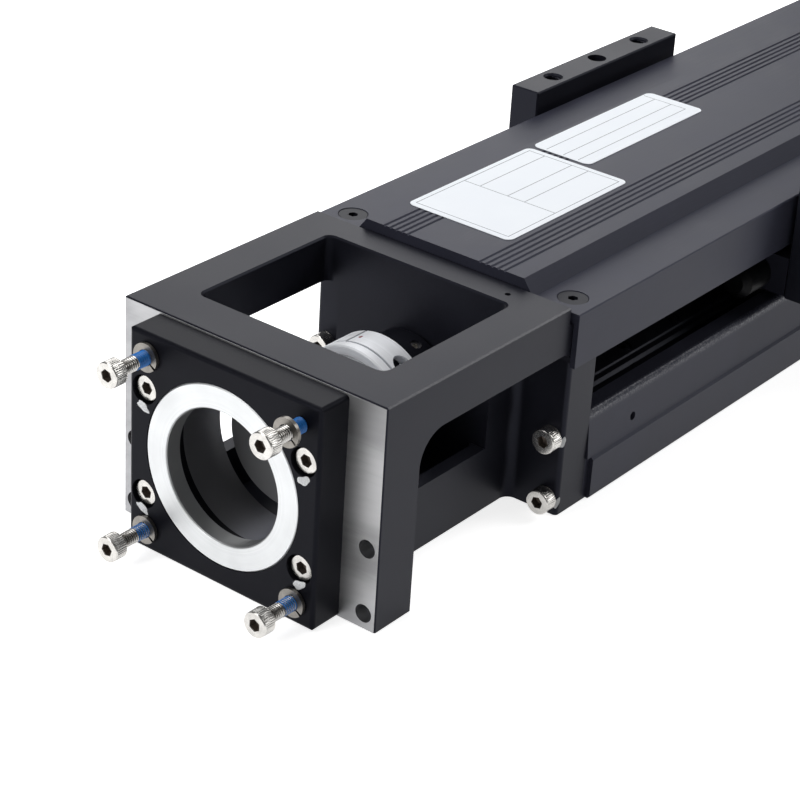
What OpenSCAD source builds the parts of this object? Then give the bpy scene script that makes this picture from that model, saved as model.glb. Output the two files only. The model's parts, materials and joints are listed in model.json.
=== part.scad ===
// Ball screw linear module with a motor housing at one end.
// Millimetres. +Z is up, and the screw runs along Y with the motor end at -Y.
// The origin is the centre of the base's mounting face.

/* [Base] */
// Length of the base extrusion
base_len = 254; // [220:2:600]
// How far the top of the side walls stands in from the housing's sides
base_inset = 0.1; // [0:0.05:0.4]
// How far the waist, just over the foot, stands out past the housing's sides
waist_out = 0.7; // [0.2:0.1:1.2]
// How far the foot stands out past the housing's sides
foot_out = 1.4; // [1:0.1:6]
// Height of the foot
foot_h = 12; // [9:0.5:14]
// Height of the side walls
base_h = 27; // [25.5:0.1:27.6]
// Thickness of the floor
floor_t = 10; // [8:0.5:11]
// How far the foot's sides are cut back from the ends
foot_in = 1.8; // [0.5:0.1:4]
// Distance between the tapped mounting holes across the base
foot_hole_x = 60; // [40:1:70]
// Distance between the tapped mounting holes along the base
foot_hole_y = 200; // [120:5:210]
// Distance of the end screws from the housing's sides
end_screw_in = 3.8; // [3.6:0.1:4.4]
// Depth of the tapped holes for the end screws
end_hole_depth = 14; // [10:1:20]

/* [Motor housing] */
// Width of the housing and of the rear block
house_w = 85; // [84.6:0.1:85.2]
// Height of the housing's deck
house_h = 62.8; // [62.2:0.1:64]
// Thickness of the front flange
flange_t = 14; // [10:0.5:18]
// Length of the window in the deck
window_len = 51.2; // [50:0.2:58]
// Width of the window in the deck
window_w = 60; // [56:1:64]
// Corner radius of the window
window_r = 2.2; // [1.5:0.1:8]
// Height of the underside of the deck's bars
bar_z = 49.6; // [49.2:0.1:51]
// Distance from the window's end to the rear flange
bridge_t = 11.8; // [10:0.2:14]
// Thickness of the rear flange
rear_flange_t = 12; // [11:0.5:16]
// Width across the trough
trough_w = 52; // [50:0.5:56]
// Height of the trough's walls
trough_h = 19; // [12:0.5:22]
// Thickness of the trough's walls
trough_wall = 4; // [2:0.5:5]
// Thickness of the trough's floor
trough_floor = 6; // [4:0.5:9]
// Radius at the front top corner of the side openings
opening_r = 9; // [4:0.5:12]
// Radius at the inner corners of the side openings
opening_corner = 3; // [1:0.5:6]
// Bore in the front flange
flange_bore = 44; // [42:0.5:50]
// Break on the deck's outer edges
deck_edge = 0.4; // [0.2:0.1:1.5]
// Break on the front flange's edges
front_edge = 0.4; // [0.2:0.1:1]
// Break round the window
window_break = 0.5; // [0.2:0.1:1.2]
// Radius on the front corners of the rear flange
rear_corner_r = 1.2; // [0.5:0.1:2]
// Place of the small tapped hole across the deck
deck_hole_x = 26; // [20:1:32]
// Distance of the small tapped hole from the window
deck_hole_in = 4.5; // [2:0.5:6]

/* [Motor plate] */
// Side of the square plate
plate_w = 62; // [60:0.5:62]
// Thickness of the plate
plate_t = 10; // [8:0.5:14]
// Depth of the recess for the centring ring
recess_t = 5; // [3:0.5:6]
// Pilot diameter of the recess
pilot_d = 50; // [48:0.5:52]
// Bore of the centring ring
ring_bore = 36.6; // [34:0.1:40]
// Distance between the motor screws
motor_square = 49.5; // [47:0.5:52]
// Pitch circle of the plate screws
plate_pcd = 60; // [58.5:0.5:62]
// Length of the motor screws under the head
motor_screw_len = 14; // [12:1:18]
// How far the motor screws reach into the plate
motor_screw_in = 3.5; // [2:0.5:6]
// Radius on the plate's outer edges
plate_edge = 1.1; // [0.5:0.1:2]

/* [Cover] */
// Height of the cover's raised centre
cover_h = 65.2; // [64.8:0.1:68]
// Height of the cover's shoulders
shoulder_h = 60.8; // [60.4:0.1:61.6]
// Width of the raised centre at its top
crown_w = 52.4; // [48:0.2:56]
// Width of the raised centre at its foot
crown_foot_w = 59; // [57:0.2:62]
// Thickness of the skirts
skirt_t = 1.6; // [1.2:0.1:3]
// Gap between the housing's sides and the skirts
skirt_gap = 0.2; // [0.1:0.05:0.4]
// Wall of the cover's top
cover_t = 3; // [2.6:0.1:3.2]
// Lower edge of the skirts
skirt_z = 45.3; // [44:0.1:47]
// Number of grooves in each group on the crown
groove_count = 5; // [3:1:6]
// Pitch of the grooves
groove_pitch = 2; // [1.6:0.1:2.4]
// Distance of the first groove of each group from the middle
groove_start = 12; // [8:0.5:14]
// Width of a groove
groove_w = 1; // [0.4:0.1:1.2]
// How deep the cover screws sit
cover_screw_in = 0.15; // [0.1:0.05:0.6]
// Gap between the housing's deck and the front of the cover
cover_gap = 1.5; // [0.4:0.1:2.5]

/* [Rear block] */
// Thickness of the rear block
rear_t = 14; // [13.5:0.5:20]

/* [Carriage] */
// Length of the carriage
carriage_len = 78; // [76:1:90]
// Resting place of the carriage's centre along the base
carriage_y = 6; // [0:1:20]
// Travel from one end stop to the other
stroke = 150; // [100:2:150]
// Thickness of the saddle's deck
saddle_t = 12; // [10:0.5:13]
// Gap between the skirts and the wings
wing_gap = 1.7; // [1:0.1:4]
// Thickness of each wing
wing_t = 10; // [10:0.5:14]
// Height of the wings' mounting faces
wing_h = 67; // [66:0.5:75]
// Distance of the tapped holes from the middle of a wing
wing_hole_y = 24; // [20:1:30]
// Pitch of the screws that hold a wing
wing_pitch = 20; // [16:1:22]
// Length of the bumpers
bumper_len = 12.5; // [8:0.5:12.5]
// Diameter of the bumpers
bumper_d = 10; // [7:0.5:10]

/* [Ball screw] */
// Height of the screw's axis
axis_z = 31; // [31:0.1:31.4]
// Diameter over the threads
screw_d = 16; // [15:0.5:16]
// Lead, the travel for one turn
lead = 10; // [5:5:20]
// Diameter of the nut's body
nut_d = 26; // [25:0.5:26]
// Diameter of the nut's flange
nut_flange_d = 44; // [43:0.5:44]
// Diameter of the bearing seats
journal_d = 12; // [11:0.5:12]
// Diameter of the end that the coupling holds
stub_d = 10; // [8:0.5:10]

/* [Coupling] */
// Outer diameter of the coupling
coupling_d = 35; // [32:0.5:36]
// Length of the coupling
coupling_len = 39; // [36:0.5:39]
// Length of each clamping hub
hub_len = 12; // [10.5:0.5:14]
// Thickness of a flexible disc
disc_t = 1; // [0.5:0.1:2]
// Diameter of the spacer between the discs
spacer_d = 25; // [20:0.5:28]
// Bore for the motor's shaft
motor_bore = 10; // [8:0.5:11]

/* [Guides] */
// Distance of each rail from the centre
rail_x = 26; // [26:0.1:26.2]
// Height of the rail's seat
rail_seat = 20; // [19.6:0.1:20.2]
// Width of a rail
rail_w = 9; // [8:0.5:9]
// Height of a rail
rail_h = 6.5; // [6:0.1:6.6]
// Pitch of the rail's holes
rail_pitch = 25; // [20:1:40]
// Length of a guide block with its end caps
block_len = 29; // [26:0.5:30]
// Width of a guide block
block_w = 20; // [19:0.5:20]
// Distance between a block's screws across the rail
block_hole_x = 14; // [12:1:14]
// Distance between a block's screws along the rail
block_hole_y = 12; // [10:1:14]

/* [Hidden] */

$fn = 64;
eps = 0.02;          // a cut runs this far past the face it opens
far = 200;           // long enough to run past the whole part
fit = 0.05;          // gap of a seated or running fit
air = 0.3;           // gap between parts that must not touch

foot_hole_d = 5;     // core of an M6 thread

// The screw sizes are those of metric socket screws.
m4 = 4; m4_head = 7; m4_head_h = 4; m4_key = 3;
m3 = 3; m3_head = 5.5; m3_head_h = 3; m3_key = 2.5;
m5 = 5; m5_head = 8.5; m5_head_h = 5; m5_key = 4;

// Widths that follow the housing's
base_top_w = house_w - 2*base_inset;
base_waist_w = house_w + 2*waist_out;
foot_w = house_w + 2*foot_out;
skirt_in = house_w/2 + skirt_gap;
cover_w = 2*(skirt_in + skirt_t);
saddle_w = cover_w + 2*wing_gap;

// Places along Y, from the base outwards.
base_front = -base_len/2;
base_rear = base_len/2;
house_rear_face = base_front - rear_flange_t;
window_rear = house_rear_face - bridge_t;
window_front = window_rear - window_len;
house_front = window_front - flange_t;
plate_front = house_front - plate_t;
step_y = house_rear_face - 2.3;
cover_front = step_y + cover_gap;
cover_rear = base_rear + rear_t - 0.5;
rear_face = base_rear + rear_t;

// The four screws at each end of the base
end_screw_x = house_w/2 - end_screw_in;
end_screw_z = [base_h - 4.2, 4.3];

// Guides and carriage, up and down
block_top = rail_seat + 10;
block_gap = 2.2;
saddle_z = block_top;
wing_z = saddle_z - 0.5;
wall_in = rail_x + block_w/2 + air;
land_in = rail_x - 5.5;
cap_t = 3.6;
front_y = carriage_y - carriage_len/2;
rear_y = carriage_y + carriage_len/2;
block_y = carriage_len/2 - block_len/2 - 4.5;

// The nut sits in the saddle's boss, with its flange in a notch in front.
nut_flange_t = 10;
notch_t = nut_flange_t + 2;
notch_y = front_y + notch_t;
nut_front = notch_y - nut_flange_t;
nut_len = 57;
nut_pcd = nut_flange_d - 9;
boss_w = 2*(rail_x - block_w/2) - 0.4;
boss_top = axis_z + 24;
boss_bottom = floor_t + 2;
nut_flange_w = boss_w - 0.6;
nut_half_h = axis_z - boss_bottom + 0.4;

// Bearings, and the pieces that clamp them
brg_d = 28;
brg_w = 8;
front_brg_y = base_front - 20;
retainer_t = 4;
rear_brg_y = base_rear + 1.2;
lock_nut_len = 9;
lock_nut_d = 28;
lock_nut_y = window_rear - 10.4;
thread_start = front_brg_y + 2*brg_w;
thread_end = rear_brg_y - 1;
coupling_y = lock_nut_y - 2.8 - coupling_len;

// The bumpers stand on the carriage's ends and meet the two end blocks.
bumper_x = wall_in - air;
bumper_z = saddle_z + bumper_d/2;

function arc(cx, cy, r, a0, a1, n = 6) =
    [for (i = [0:n]) let (a = a0 + (a1 - a0)*i/n) [cx + r*cos(a), cy + r*sin(a)]];
function mirrored(half) =
    concat(half, [for (i = [len(half) - 1:-1:0]) [-half[i][0], half[i][1]]]);

// Turns the Z axis of a child to point along Y, either way.
module along_y() { rotate([-90, 0, 0]) children(); }
module towards_motor() { rotate([90, 0, 0]) children(); }

// Draws a profile in Y and Z and runs it across, w wide.
module run_x(x0, w) { translate([x0, 0, 0]) rotate([90, 0, 90]) linear_extrude(w) children(); }

// Draws a profile in X and Z and runs it from y0 to y1.
module run_y(y0, y1) {
    translate([0, y1, 0]) rotate([90, 0, 0]) linear_extrude(y1 - y0) children();
}

// A tube along Z with its foot at z = 0
module tube(outer, inner, h) {
    difference() {
        cylinder(d = outer, h = h);
        translate([0, 0, -eps]) cylinder(d = inner, h = h + 2*eps);
    }
}

// A socket cap screw: its head stands on z = 0 and its shank goes down.
module cap_screw(d, l, head, head_h, key) {
    edge = 0.3;
    difference() {
        union() {
            cylinder(d = head, h = head_h - edge);
            translate([0, 0, head_h - edge]) cylinder(d1 = head, d2 = head - 2*edge, h = edge);
            translate([0, 0, -l]) cylinder(d = d, h = l + eps);
        }
        translate([0, 0, head_h*0.42])
            cylinder(d = key/cos(30), h = head_h, $fn = 6);
    }
}
module m4_screw(l) { cap_screw(m4, l, m4_head, m4_head_h, m4_key); }
module m3_screw(l) { cap_screw(m3, l, m3_head, m3_head_h, m3_key); }
module m5_screw(l) { cap_screw(m5, l, m5_head, m5_head_h, m5_key); }

// A countersunk screw with its flat face at z = 0
csk_head = 8;
csk_h = 2.3;
module csk_screw(l) {
    difference() {
        union() {
            translate([0, 0, -csk_h]) cylinder(d1 = m4, d2 = csk_head, h = csk_h);
            translate([0, 0, -l]) cylinder(d = m4, h = l - csk_h + eps);
        }
        translate([0, 0, -1.4]) cylinder(d = 2.5/cos(30), h = 2, $fn = 6);
    }
}

// The places that share a pattern of fasteners
module at_end_screws(y) {
    for (sx = [-1, 1], z = end_screw_z) translate([sx*end_screw_x, y, z]) children();
}
module at_motor_square(y) {
    for (sx = [-1, 1], sz = [-1, 1])
        translate([sx*motor_square/2, y, axis_z + sz*motor_square/2]) children();
}
module at_plate_pcd(y) {
    for (a = [30, 150, 210, 330])
        translate([plate_pcd/2*cos(a), y, axis_z + plate_pcd/2*sin(a)]) children();
}

// ---- Base ----

module base_outline() {
    step = (foot_w - base_waist_w)/2;
    edge_r = min(1.6, base_top_w/2 - wall_in - 0.6);
    polygon(mirrored(concat(
        [[0, 0], [foot_w/2 - 0.6, 0], [foot_w/2, 0.6], [foot_w/2, foot_h],
            [base_waist_w/2, foot_h + step]],
        arc(base_top_w/2 - edge_r, base_h - edge_r, edge_r, 0, 90),
        [[wall_in + 0.5, base_h], [wall_in, base_h - 0.5], [wall_in, rail_seat],
            [rail_x + rail_w/2 + 1, rail_seat], [land_in, rail_seat],
            [land_in, floor_t], [0, floor_t]])));
}

module base_extrusion() {
    side_hole_y = base_len/2 - 21.5;
    color("#2b2c31") difference() {
        run_y(base_front, base_rear) base_outline();
        // tapped ends for the housing and the rear block
        at_end_screws(base_front - eps) along_y() cylinder(d = m4 + 2*fit, h = end_hole_depth);
        at_end_screws(base_rear + eps) towards_motor() cylinder(d = m4 + 2*fit, h = end_hole_depth);
        // the foot is cut back beside the end blocks
        for (sx = [-1, 1], sy = [-1, 1])
            translate([sx*(house_w/2 + foot_out), sy*base_len/2, 0])
                cube([2*foot_out, 2*foot_in, 2*(foot_h + foot_out - waist_out)], center = true);
        // tapped mounting holes underneath
        for (sx = [-1, 1], y = [-foot_hole_y/2, 0, foot_hole_y/2])
            translate([sx*foot_hole_x/2, y, -eps]) cylinder(d = foot_hole_d, h = floor_t - 1);
        // tapped sensor holes in the sides
        for (sx = [-1, 1], y = [-side_hole_y, 0, side_hole_y])
            translate([sx*(base_top_w/2 - 4), y, base_h - 9.4]) rotate([0, sx*90, 0])
                cylinder(d = 2.5, h = 6);
        // tapped rail holes
        for (sx = [-1, 1]) at_rail_holes(sx) translate([0, 0, rail_seat - 8])
            cylinder(d = m3 + 2*fit, h = 9);
    }
}

// ---- Motor housing ----

// The cover's inside face, which the end blocks fill with a small gap
module under_cover(gap) {
    polygon(mirrored([[0, 0], [house_w/2, 0], [house_w/2, shoulder_h - cover_t - gap],
        [crown_foot_w/2 - 1.5, shoulder_h - cover_t - gap],
        [crown_w/2 - 1.2, cover_h - cover_t - gap], [0, cover_h - cover_t - gap]]));
}

// The deck and the front flange, with every outer edge broken
module house_block() {
    e = deck_edge;
    f = front_edge;
    w = house_w/2;
    intersection() {
        run_y(house_front, step_y)
            polygon(mirrored([[0, 0], [w, 0], [w, house_h - e], [w - e, house_h], [0, house_h]]));
        linear_extrude(house_h)
            polygon(mirrored([[0, house_front], [w - f, house_front], [w, house_front + f],
                [w, step_y], [0, step_y]]));
        run_x(-w, house_w) polygon([[house_front, 0], [step_y, 0], [step_y, house_h],
            [house_front + f, house_h], [house_front, house_h - f]]);
    }
}

// Rounds the rear flange's front corners, from the foot up to the deck's bar.
module rear_corners() {
    r = rear_corner_r;
    w = house_w/2;
    translate([0, 0, -1]) linear_extrude(bar_z + 1) for (sx = [-1, 1]) difference() {
        translate([sx > 0 ? w - r : -w - 1, house_rear_face - eps]) square([r + 1, r + eps]);
        translate([sx*(w - r), house_rear_face + r]) circle(r);
    }
}

// The opening in each side, between the trough and the deck
module side_opening() {
    r1 = opening_r;
    r2 = 4;
    depth = house_w/2 - trough_w/2;
    corner = opening_corner;
    for (sx = [-1, 1]) {
        x0 = sx > 0 ? trough_w/2 : -house_w/2 - 1;
        // the pocket outside the trough, with rounded inner corners
        intersection() {
            translate([0, 0, -1]) linear_extrude(bar_z + 1) translate([sx*trough_w/2, 0])
                translate([sx > 0 ? 0 : -depth - 1, 0]) hollow(depth + 1, corner, sx);
            opening_side(x0, depth + 1, r1, r2);
        }
    }
}

// A rectangle from the window's front to the rear flange with two rounded
// corners beside the trough
module hollow(w, r, sx) {
    y0 = window_front;
    y1 = house_rear_face;
    x_in = sx > 0 ? r : w - r;
    translate([sx > 0 ? r : 0, y0]) square([w - r, y1 - y0]);
    translate([sx > 0 ? 0 : w - r, y0 + r]) square([r, y1 - y0 - 2*r]);
    for (y = [y0 + r, y1 - r]) translate([x_in, y]) circle(r);
}

// The same opening seen from the side: rounded under the deck's bar
module opening_side(x0, w, r1, r2) {
    y0 = window_front;
    y1 = house_rear_face;
    translate([x0, y0, -1]) cube([w, y1 - y0, bar_z - r1 + 1]);
    translate([x0, y0 + r1, -1]) cube([w, y1 - y0 - r1 - r2, bar_z + 1]);
    translate([x0, y0 + r1 + 1, -1]) cube([w, y1 - y0 - r1 - 1, bar_z - r2 + 1]);
    translate([x0, y0 + r1, bar_z - r1]) rotate([0, 90, 0]) cylinder(r = r1, h = w);
    translate([x0, y1 - r2, bar_z - r2]) rotate([0, 90, 0]) cylinder(r = r2, h = w);
}

module rounded_rect(x, y, w, l, r) {
    translate([x + r, y]) square([w - 2*r, l]);
    translate([x, y + r]) square([w, l - 2*r]);
    for (i = [r, w - r], j = [r, l - r]) translate([x + i, y + j]) circle(r);
}

module motor_housing() {
    in_w = trough_w - 2*trough_wall;
    wx = window_w/2;
    color("#2a2b30") difference() {
        union() {
            house_block();
            run_y(step_y - eps, base_front) under_cover(fit);
        }
        side_opening();
        rear_corners();
        // the window in the deck, down to the level of the trough's walls
        translate([0, 0, trough_h]) linear_extrude(far)
            rounded_rect(-wx, window_front, 2*wx, window_len, window_r);
        // the broken edge round the window
        window_edge();
        // the room in the trough
        translate([0, 0, trough_floor]) linear_extrude(far/2)
            rounded_rect(-in_w/2, window_front, in_w, window_len, window_r);
        // bore in the front flange
        translate([0, house_front - 1, axis_z]) along_y() cylinder(d = flange_bore, h = flange_t + 2);
        // bearing seat from behind, and the hole for the lock nut's side
        translate([0, base_front + eps, axis_z]) towards_motor()
            cylinder(d = brg_d + 2*fit, h = base_front - front_brg_y + eps);
        translate([0, front_brg_y + 1, axis_z]) towards_motor()
            cylinder(d = brg_d - 4, h = front_brg_y - window_rear + 2);
        // screws into the base, and the key's way to them through the flange
        at_end_screws(house_rear_face - 1) along_y() cylinder(d = m4 + 0.4, h = rear_flange_t + 2);
        at_end_screws(house_front - 1) along_y() cylinder(d = 5, h = flange_t + 2);
        at_plate_pcd(house_front - 1) along_y() cylinder(d = m4 + 2*fit, h = 12);
        // tapped holes for the retainer and the cover
        at_retainer(base_front + 1) towards_motor() cylinder(d = m3 + 2*fit, h = 9);
        at_cover_screws(-1) translate([0, 0, -12]) cylinder(d = m4 + 2*fit, h = 20);
        // a small tapped hole in the deck's bridge
        translate([deck_hole_x, window_rear + deck_hole_in, house_h - 5]) cylinder(d = 1.6, h = 6);
    }
}

// A sloping edge round the window's mouth, with a cone at each corner
module window_edge() {
    e = window_break;
    up = e + 1;
    r = window_r;
    x = window_w/2 - r;
    y0 = window_front + r;
    y1 = window_rear - r;
    z = house_h - e;
    for (cx = [-x, x], cy = [y0, y1]) translate([cx, cy, z]) cylinder(r1 = r, r2 = r + up, h = up);
    run_y(y0, y1) polygon(mirrored([[0, z], [x + r, z], [x + r + up, z + up], [0, z + up]]));
    run_x(-x, 2*x) polygon([[y0 - r, z], [y1 + r, z], [y1 + r + up, z + up], [y0 - r - up, z + up]]);
}

module housing_screws() {
    color("#c9c6c0") at_end_screws(house_rear_face) towards_motor() m4_screw(rear_flange_t + 10);
}

// ---- Motor plate ----

module motor_plate() {
    r = plate_edge;
    w = plate_w;
    long = plate_t + 2*r;
    color("#26272c") difference() {
        // rounded at the four corners and round the front face
        intersection() {
            translate([0, house_front, axis_z]) towards_motor() linear_extrude(plate_t)
                rounded_rect(-w/2, -w/2, w, w, r);
            translate([0, 0, axis_z - w/2]) linear_extrude(w) rounded_rect(-w/2, plate_front, w, long, r);
            run_x(-w/2, w) rounded_rect(plate_front, axis_z - w/2, long, w, r);
        }
        translate([0, plate_front - 1, axis_z]) along_y() cylinder(d = flange_bore - 0.4, h = plate_t + 2);
        translate([0, plate_front - 1, axis_z]) along_y() cylinder(d = pilot_d + 2*fit, h = recess_t + 1);
        at_motor_square(plate_front - 1) along_y() cylinder(d = m4 + 2*fit, h = plate_t + 2);
        at_plate_pcd(plate_front - 1) along_y() {
            cylinder(d = m4 + 0.4, h = plate_t + 2);
            cylinder(d = m4_head + 1, h = plate_screw_seat + 1);
        }
    }
}
plate_screw_seat = 5;

module centring_ring() {
    e = 0.4;
    r0 = ring_bore/2;
    r1 = pilot_d/2;
    color("#d9dadc") translate([0, plate_front, axis_z]) along_y() rotate_extrude()
        polygon([[r0 + e, 0], [r1 - e, 0], [r1, e], [r1, recess_t], [r0, recess_t], [r0, e]]);
}

module plate_screws() {
    color("#cfccc6") at_plate_pcd(plate_front + plate_screw_seat) towards_motor()
        m4_screw(plate_t - plate_screw_seat + 9);
}

motor_head_y = plate_front + motor_screw_in - motor_screw_len;
module motor_screws() {
    color("#cfccc6") at_motor_square(motor_head_y) towards_motor() m4_screw(motor_screw_len);
}

// The upper right washer hangs further out than the other three.
module spring_washers() {
    thick = 1;
    color("#d4d2cd") for (sx = [-1, 1], sz = [-1, 1]) {
        out = sx > 0 && sz > 0 ? 5.5 : 1.2;
        translate([sx*motor_square/2, plate_front - out, axis_z + sz*motor_square/2])
            rotate([-90, 40, 0]) rotate_extrude(angle = 348)
                translate([m4/2 + 0.2, 0]) square([1.7, thick]);
    }
}

// ---- Cover ----

module at_cover_screws(end) {
    y = end < 0 ? cover_front + 7.5 : cover_rear - 7;
    // in the middle of each shoulder
    for (sx = [-1, 1]) translate([sx*(crown_foot_w + cover_w)/4, y, shoulder_h]) children();
}

module top_cover() {
    g = groove_w/2;
    outer = [[0, cover_h], [crown_w/2, cover_h], [crown_foot_w/2, shoulder_h],
        [cover_w/2 - 0.3, shoulder_h], [cover_w/2, shoulder_h - 0.3], [cover_w/2, skirt_z]];
    inner = [[skirt_in, skirt_z], [skirt_in, shoulder_h - cover_t],
        [crown_foot_w/2 - 1.5, shoulder_h - cover_t],
        [crown_w/2 - 1.2, cover_h - cover_t], [0, cover_h - cover_t]];
    color("#2d2e33") difference() {
        run_y(cover_front, cover_rear) difference() {
            polygon(mirrored(concat(outer, inner)));
            for (sx = [-1, 1], i = [0:groove_count - 1])
                translate([sx*(groove_start + i*groove_pitch), cover_h])
                    polygon([[-g - eps, eps], [-0.1, -0.7*g], [0.1, -0.7*g], [g + eps, eps]]);
        }
        for (end = [-1, 1]) at_cover_screws(end) {
            translate([0, 0, -csk_h - cover_screw_in]) cylinder(d1 = m4 + 0.4, d2 = csk_head + 0.4, h = csk_h);
            translate([0, 0, -cover_screw_in - eps]) cylinder(d = csk_head + 0.5, h = 1);
            translate([0, 0, -8]) cylinder(d = m4 + 0.4, h = 8);
        }
    }
}

module cover_screws() {
    color("#2a2a2e") for (end = [-1, 1]) at_cover_screws(end) translate([0, 0, -cover_screw_in]) csk_screw(10);
}

// ---- Rear block ----

module rear_block() {
    color("#2a2b30") difference() {
        run_y(base_rear, rear_face) under_cover(fit);
        translate([0, rear_brg_y, axis_z]) along_y() cylinder(d = brg_d + 2*fit, h = rear_t);
        translate([0, base_rear - 1, axis_z]) along_y() cylinder(d = brg_d - 4, h = 4);
        at_end_screws(rear_face + eps) towards_motor() {
            cylinder(d = m4 + 0.4, h = rear_t + 1);
            cylinder(d = m4_head + 0.6, h = m4_head_h + 0.6 + eps);
        }
        at_cover_screws(1) translate([0, 0, -12]) cylinder(d = m4 + 2*fit, h = 20);
    }
}

module rear_block_screws() {
    seat = m4_head_h + 0.6;
    color("#c9c6c0") at_end_screws(rear_face - seat) along_y() m4_screw(rear_t - seat + 9);
}

module rear_cap() {
    depth = rear_face - shaft_end - air;
    color("#222326") translate([0, rear_face, axis_z]) towards_motor() difference() {
        cylinder(d = brg_d, h = depth);
        translate([0, 0, -eps]) cylinder(d = 6, h = 1);
    }
}

// ---- Guides ----

rail_len = base_len - 8;
rail_holes = floor((rail_len - 16)/rail_pitch) + 1;
module at_rail_holes(sx) {
    for (i = [0:rail_holes - 1])
        translate([sx*rail_x, (i - (rail_holes - 1)/2)*rail_pitch, 0]) children();
}

module rail(sx) {
    w = rail_w/2;
    groove = 0.8;
    half = [[w, 0.4], [w, 2.6], [w - groove, 3.4], [w - groove, 4.2], [w, 5], [w, rail_h - 0.4],
        [w - 0.4, rail_h]];
    color("#b9bcc0") difference() {
        translate([sx*rail_x, 0, rail_seat]) run_y(-rail_len/2, rail_len/2)
            polygon(concat([[w - 0.4, 0]], half, [for (i = [6:-1:0]) [-half[i][0], half[i][1]]],
                [[-w + 0.4, 0]]));
        at_rail_holes(sx) translate([0, 0, rail_seat]) {
            translate([0, 0, -1]) cylinder(d = m3 + 0.4, h = rail_h + 2);
            translate([0, 0, rail_h - m3_head_h - 0.3]) cylinder(d = m3_head + 0.4, h = 5);
        }
    }
}
module left_rail() { rail(-1); }
module right_rail() { rail(1); }

module rail_screws() {
    color("#3a3a3d") for (sx = [-1, 1]) at_rail_holes(sx)
        translate([0, 0, rail_seat + rail_h - m3_head_h - 0.3]) m3_screw(8);
}

module guide_block(sx, sy) {
    body = block_len - 2*cap_t;
    w = block_w/2;
    slot = rail_w/2 + 0.2;
    color("#c4c7ca") translate([sx*rail_x, carriage_y + sy*block_y, 0]) difference() {
        translate([0, 0, rail_seat]) run_y(-body/2, body/2) difference() {
            polygon(mirrored([[0, block_gap], [w - 0.4, block_gap], [w, block_gap + 0.4],
                [w, 9.6], [w - 0.4, 10], [0, 10]]));
            translate([-slot, 0]) square([2*slot, rail_h + 0.3]);
        }
        for (x = [-1, 1]*block_hole_x/2, y = [-1, 1]*block_hole_y/2)
            translate([x, y, block_top - 2.6]) cylinder(d = m3 + 2*fit, h = 3);
    }
}
module guide_block_left_front() { guide_block(-1, -1); }
module guide_block_left_rear() { guide_block(-1, 1); }
module guide_block_right_front() { guide_block(1, -1); }
module guide_block_right_rear() { guide_block(1, 1); }

module block_end_caps() {
    w = block_w/2 - 0.3;
    slot = rail_w/2 + 0.25;
    color("#1d4f8c") for (sx = [-1, 1], sy = [-1, 1], e = [-1, 1])
        translate([sx*rail_x, carriage_y + sy*block_y + e*(block_len - cap_t)/2, rail_seat])
            run_y(-cap_t/2, cap_t/2) difference() {
                polygon(mirrored([[0, block_gap + 0.2], [w, block_gap + 0.2], [w, 8.6], [w - 1, 9.6], [0, 9.6]]));
                translate([-slot, 0]) square([2*slot, rail_h + 0.35]);
            }
}

module at_block_screws() {
    for (sx = [-1, 1], sy = [-1, 1], x = [-1, 1]*block_hole_x/2, y = [-1, 1]*block_hole_y/2)
        translate([sx*rail_x + x, carriage_y + sy*block_y + y, 0]) children();
}

module block_screws() {
    seat = saddle_t - m3_head_h - 0.6;
    color("#3a3a3d") at_block_screws() translate([0, 0, saddle_z + seat]) m3_screw(seat + 2.2);
}

// ---- Carriage ----

module saddle() {
    hw = saddle_w/2;
    seat = saddle_t - m3_head_h - 0.6;
    color("#33343a") difference() {
        union() {
            translate([-hw, front_y, saddle_z]) cube([saddle_w, carriage_len, saddle_t]);
            run_y(notch_y, rear_y) polygon(mirrored([[0, boss_bottom], [boss_w/2 - 2, boss_bottom],
                [boss_w/2, boss_bottom + 2], [boss_w/2, saddle_z + saddle_t + 1],
                [boss_w/2 - 3, boss_top], [0, boss_top]]));
        }
        // notch for the nut's flange
        translate([-boss_w/2, front_y - 1, 0]) cube([boss_w, notch_t + 1, far]);
        // bore for the nut, and the screw's way out behind it
        translate([0, front_y, axis_z]) along_y() cylinder(d = nut_d + 2*fit, h = carriage_len + 1);
        at_nut_screws(notch_y - 1) along_y() cylinder(d = m4 + 2*fit, h = 13);
        at_block_screws() translate([0, 0, saddle_z - 1]) {
            cylinder(d = m3 + 0.4, h = saddle_t + 2);
            translate([0, 0, seat + 1]) cylinder(d = m3_head + 0.5, h = far/10);
        }
        for (sx = [-1, 1]) at_wing_screws(sx) translate([0, 0, -13]) cylinder(d = m5 + 2*fit, h = 14);
    }
}

// Along X from the joint face of a wing, outwards
module at_wing_screws(sx) {
    for (i = [-1.5, -0.5, 0.5, 1.5])
        translate([sx*saddle_w/2, carriage_y + i*wing_pitch, saddle_z + saddle_t/2]) rotate([0, sx*90, 0]) children();
}

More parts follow.
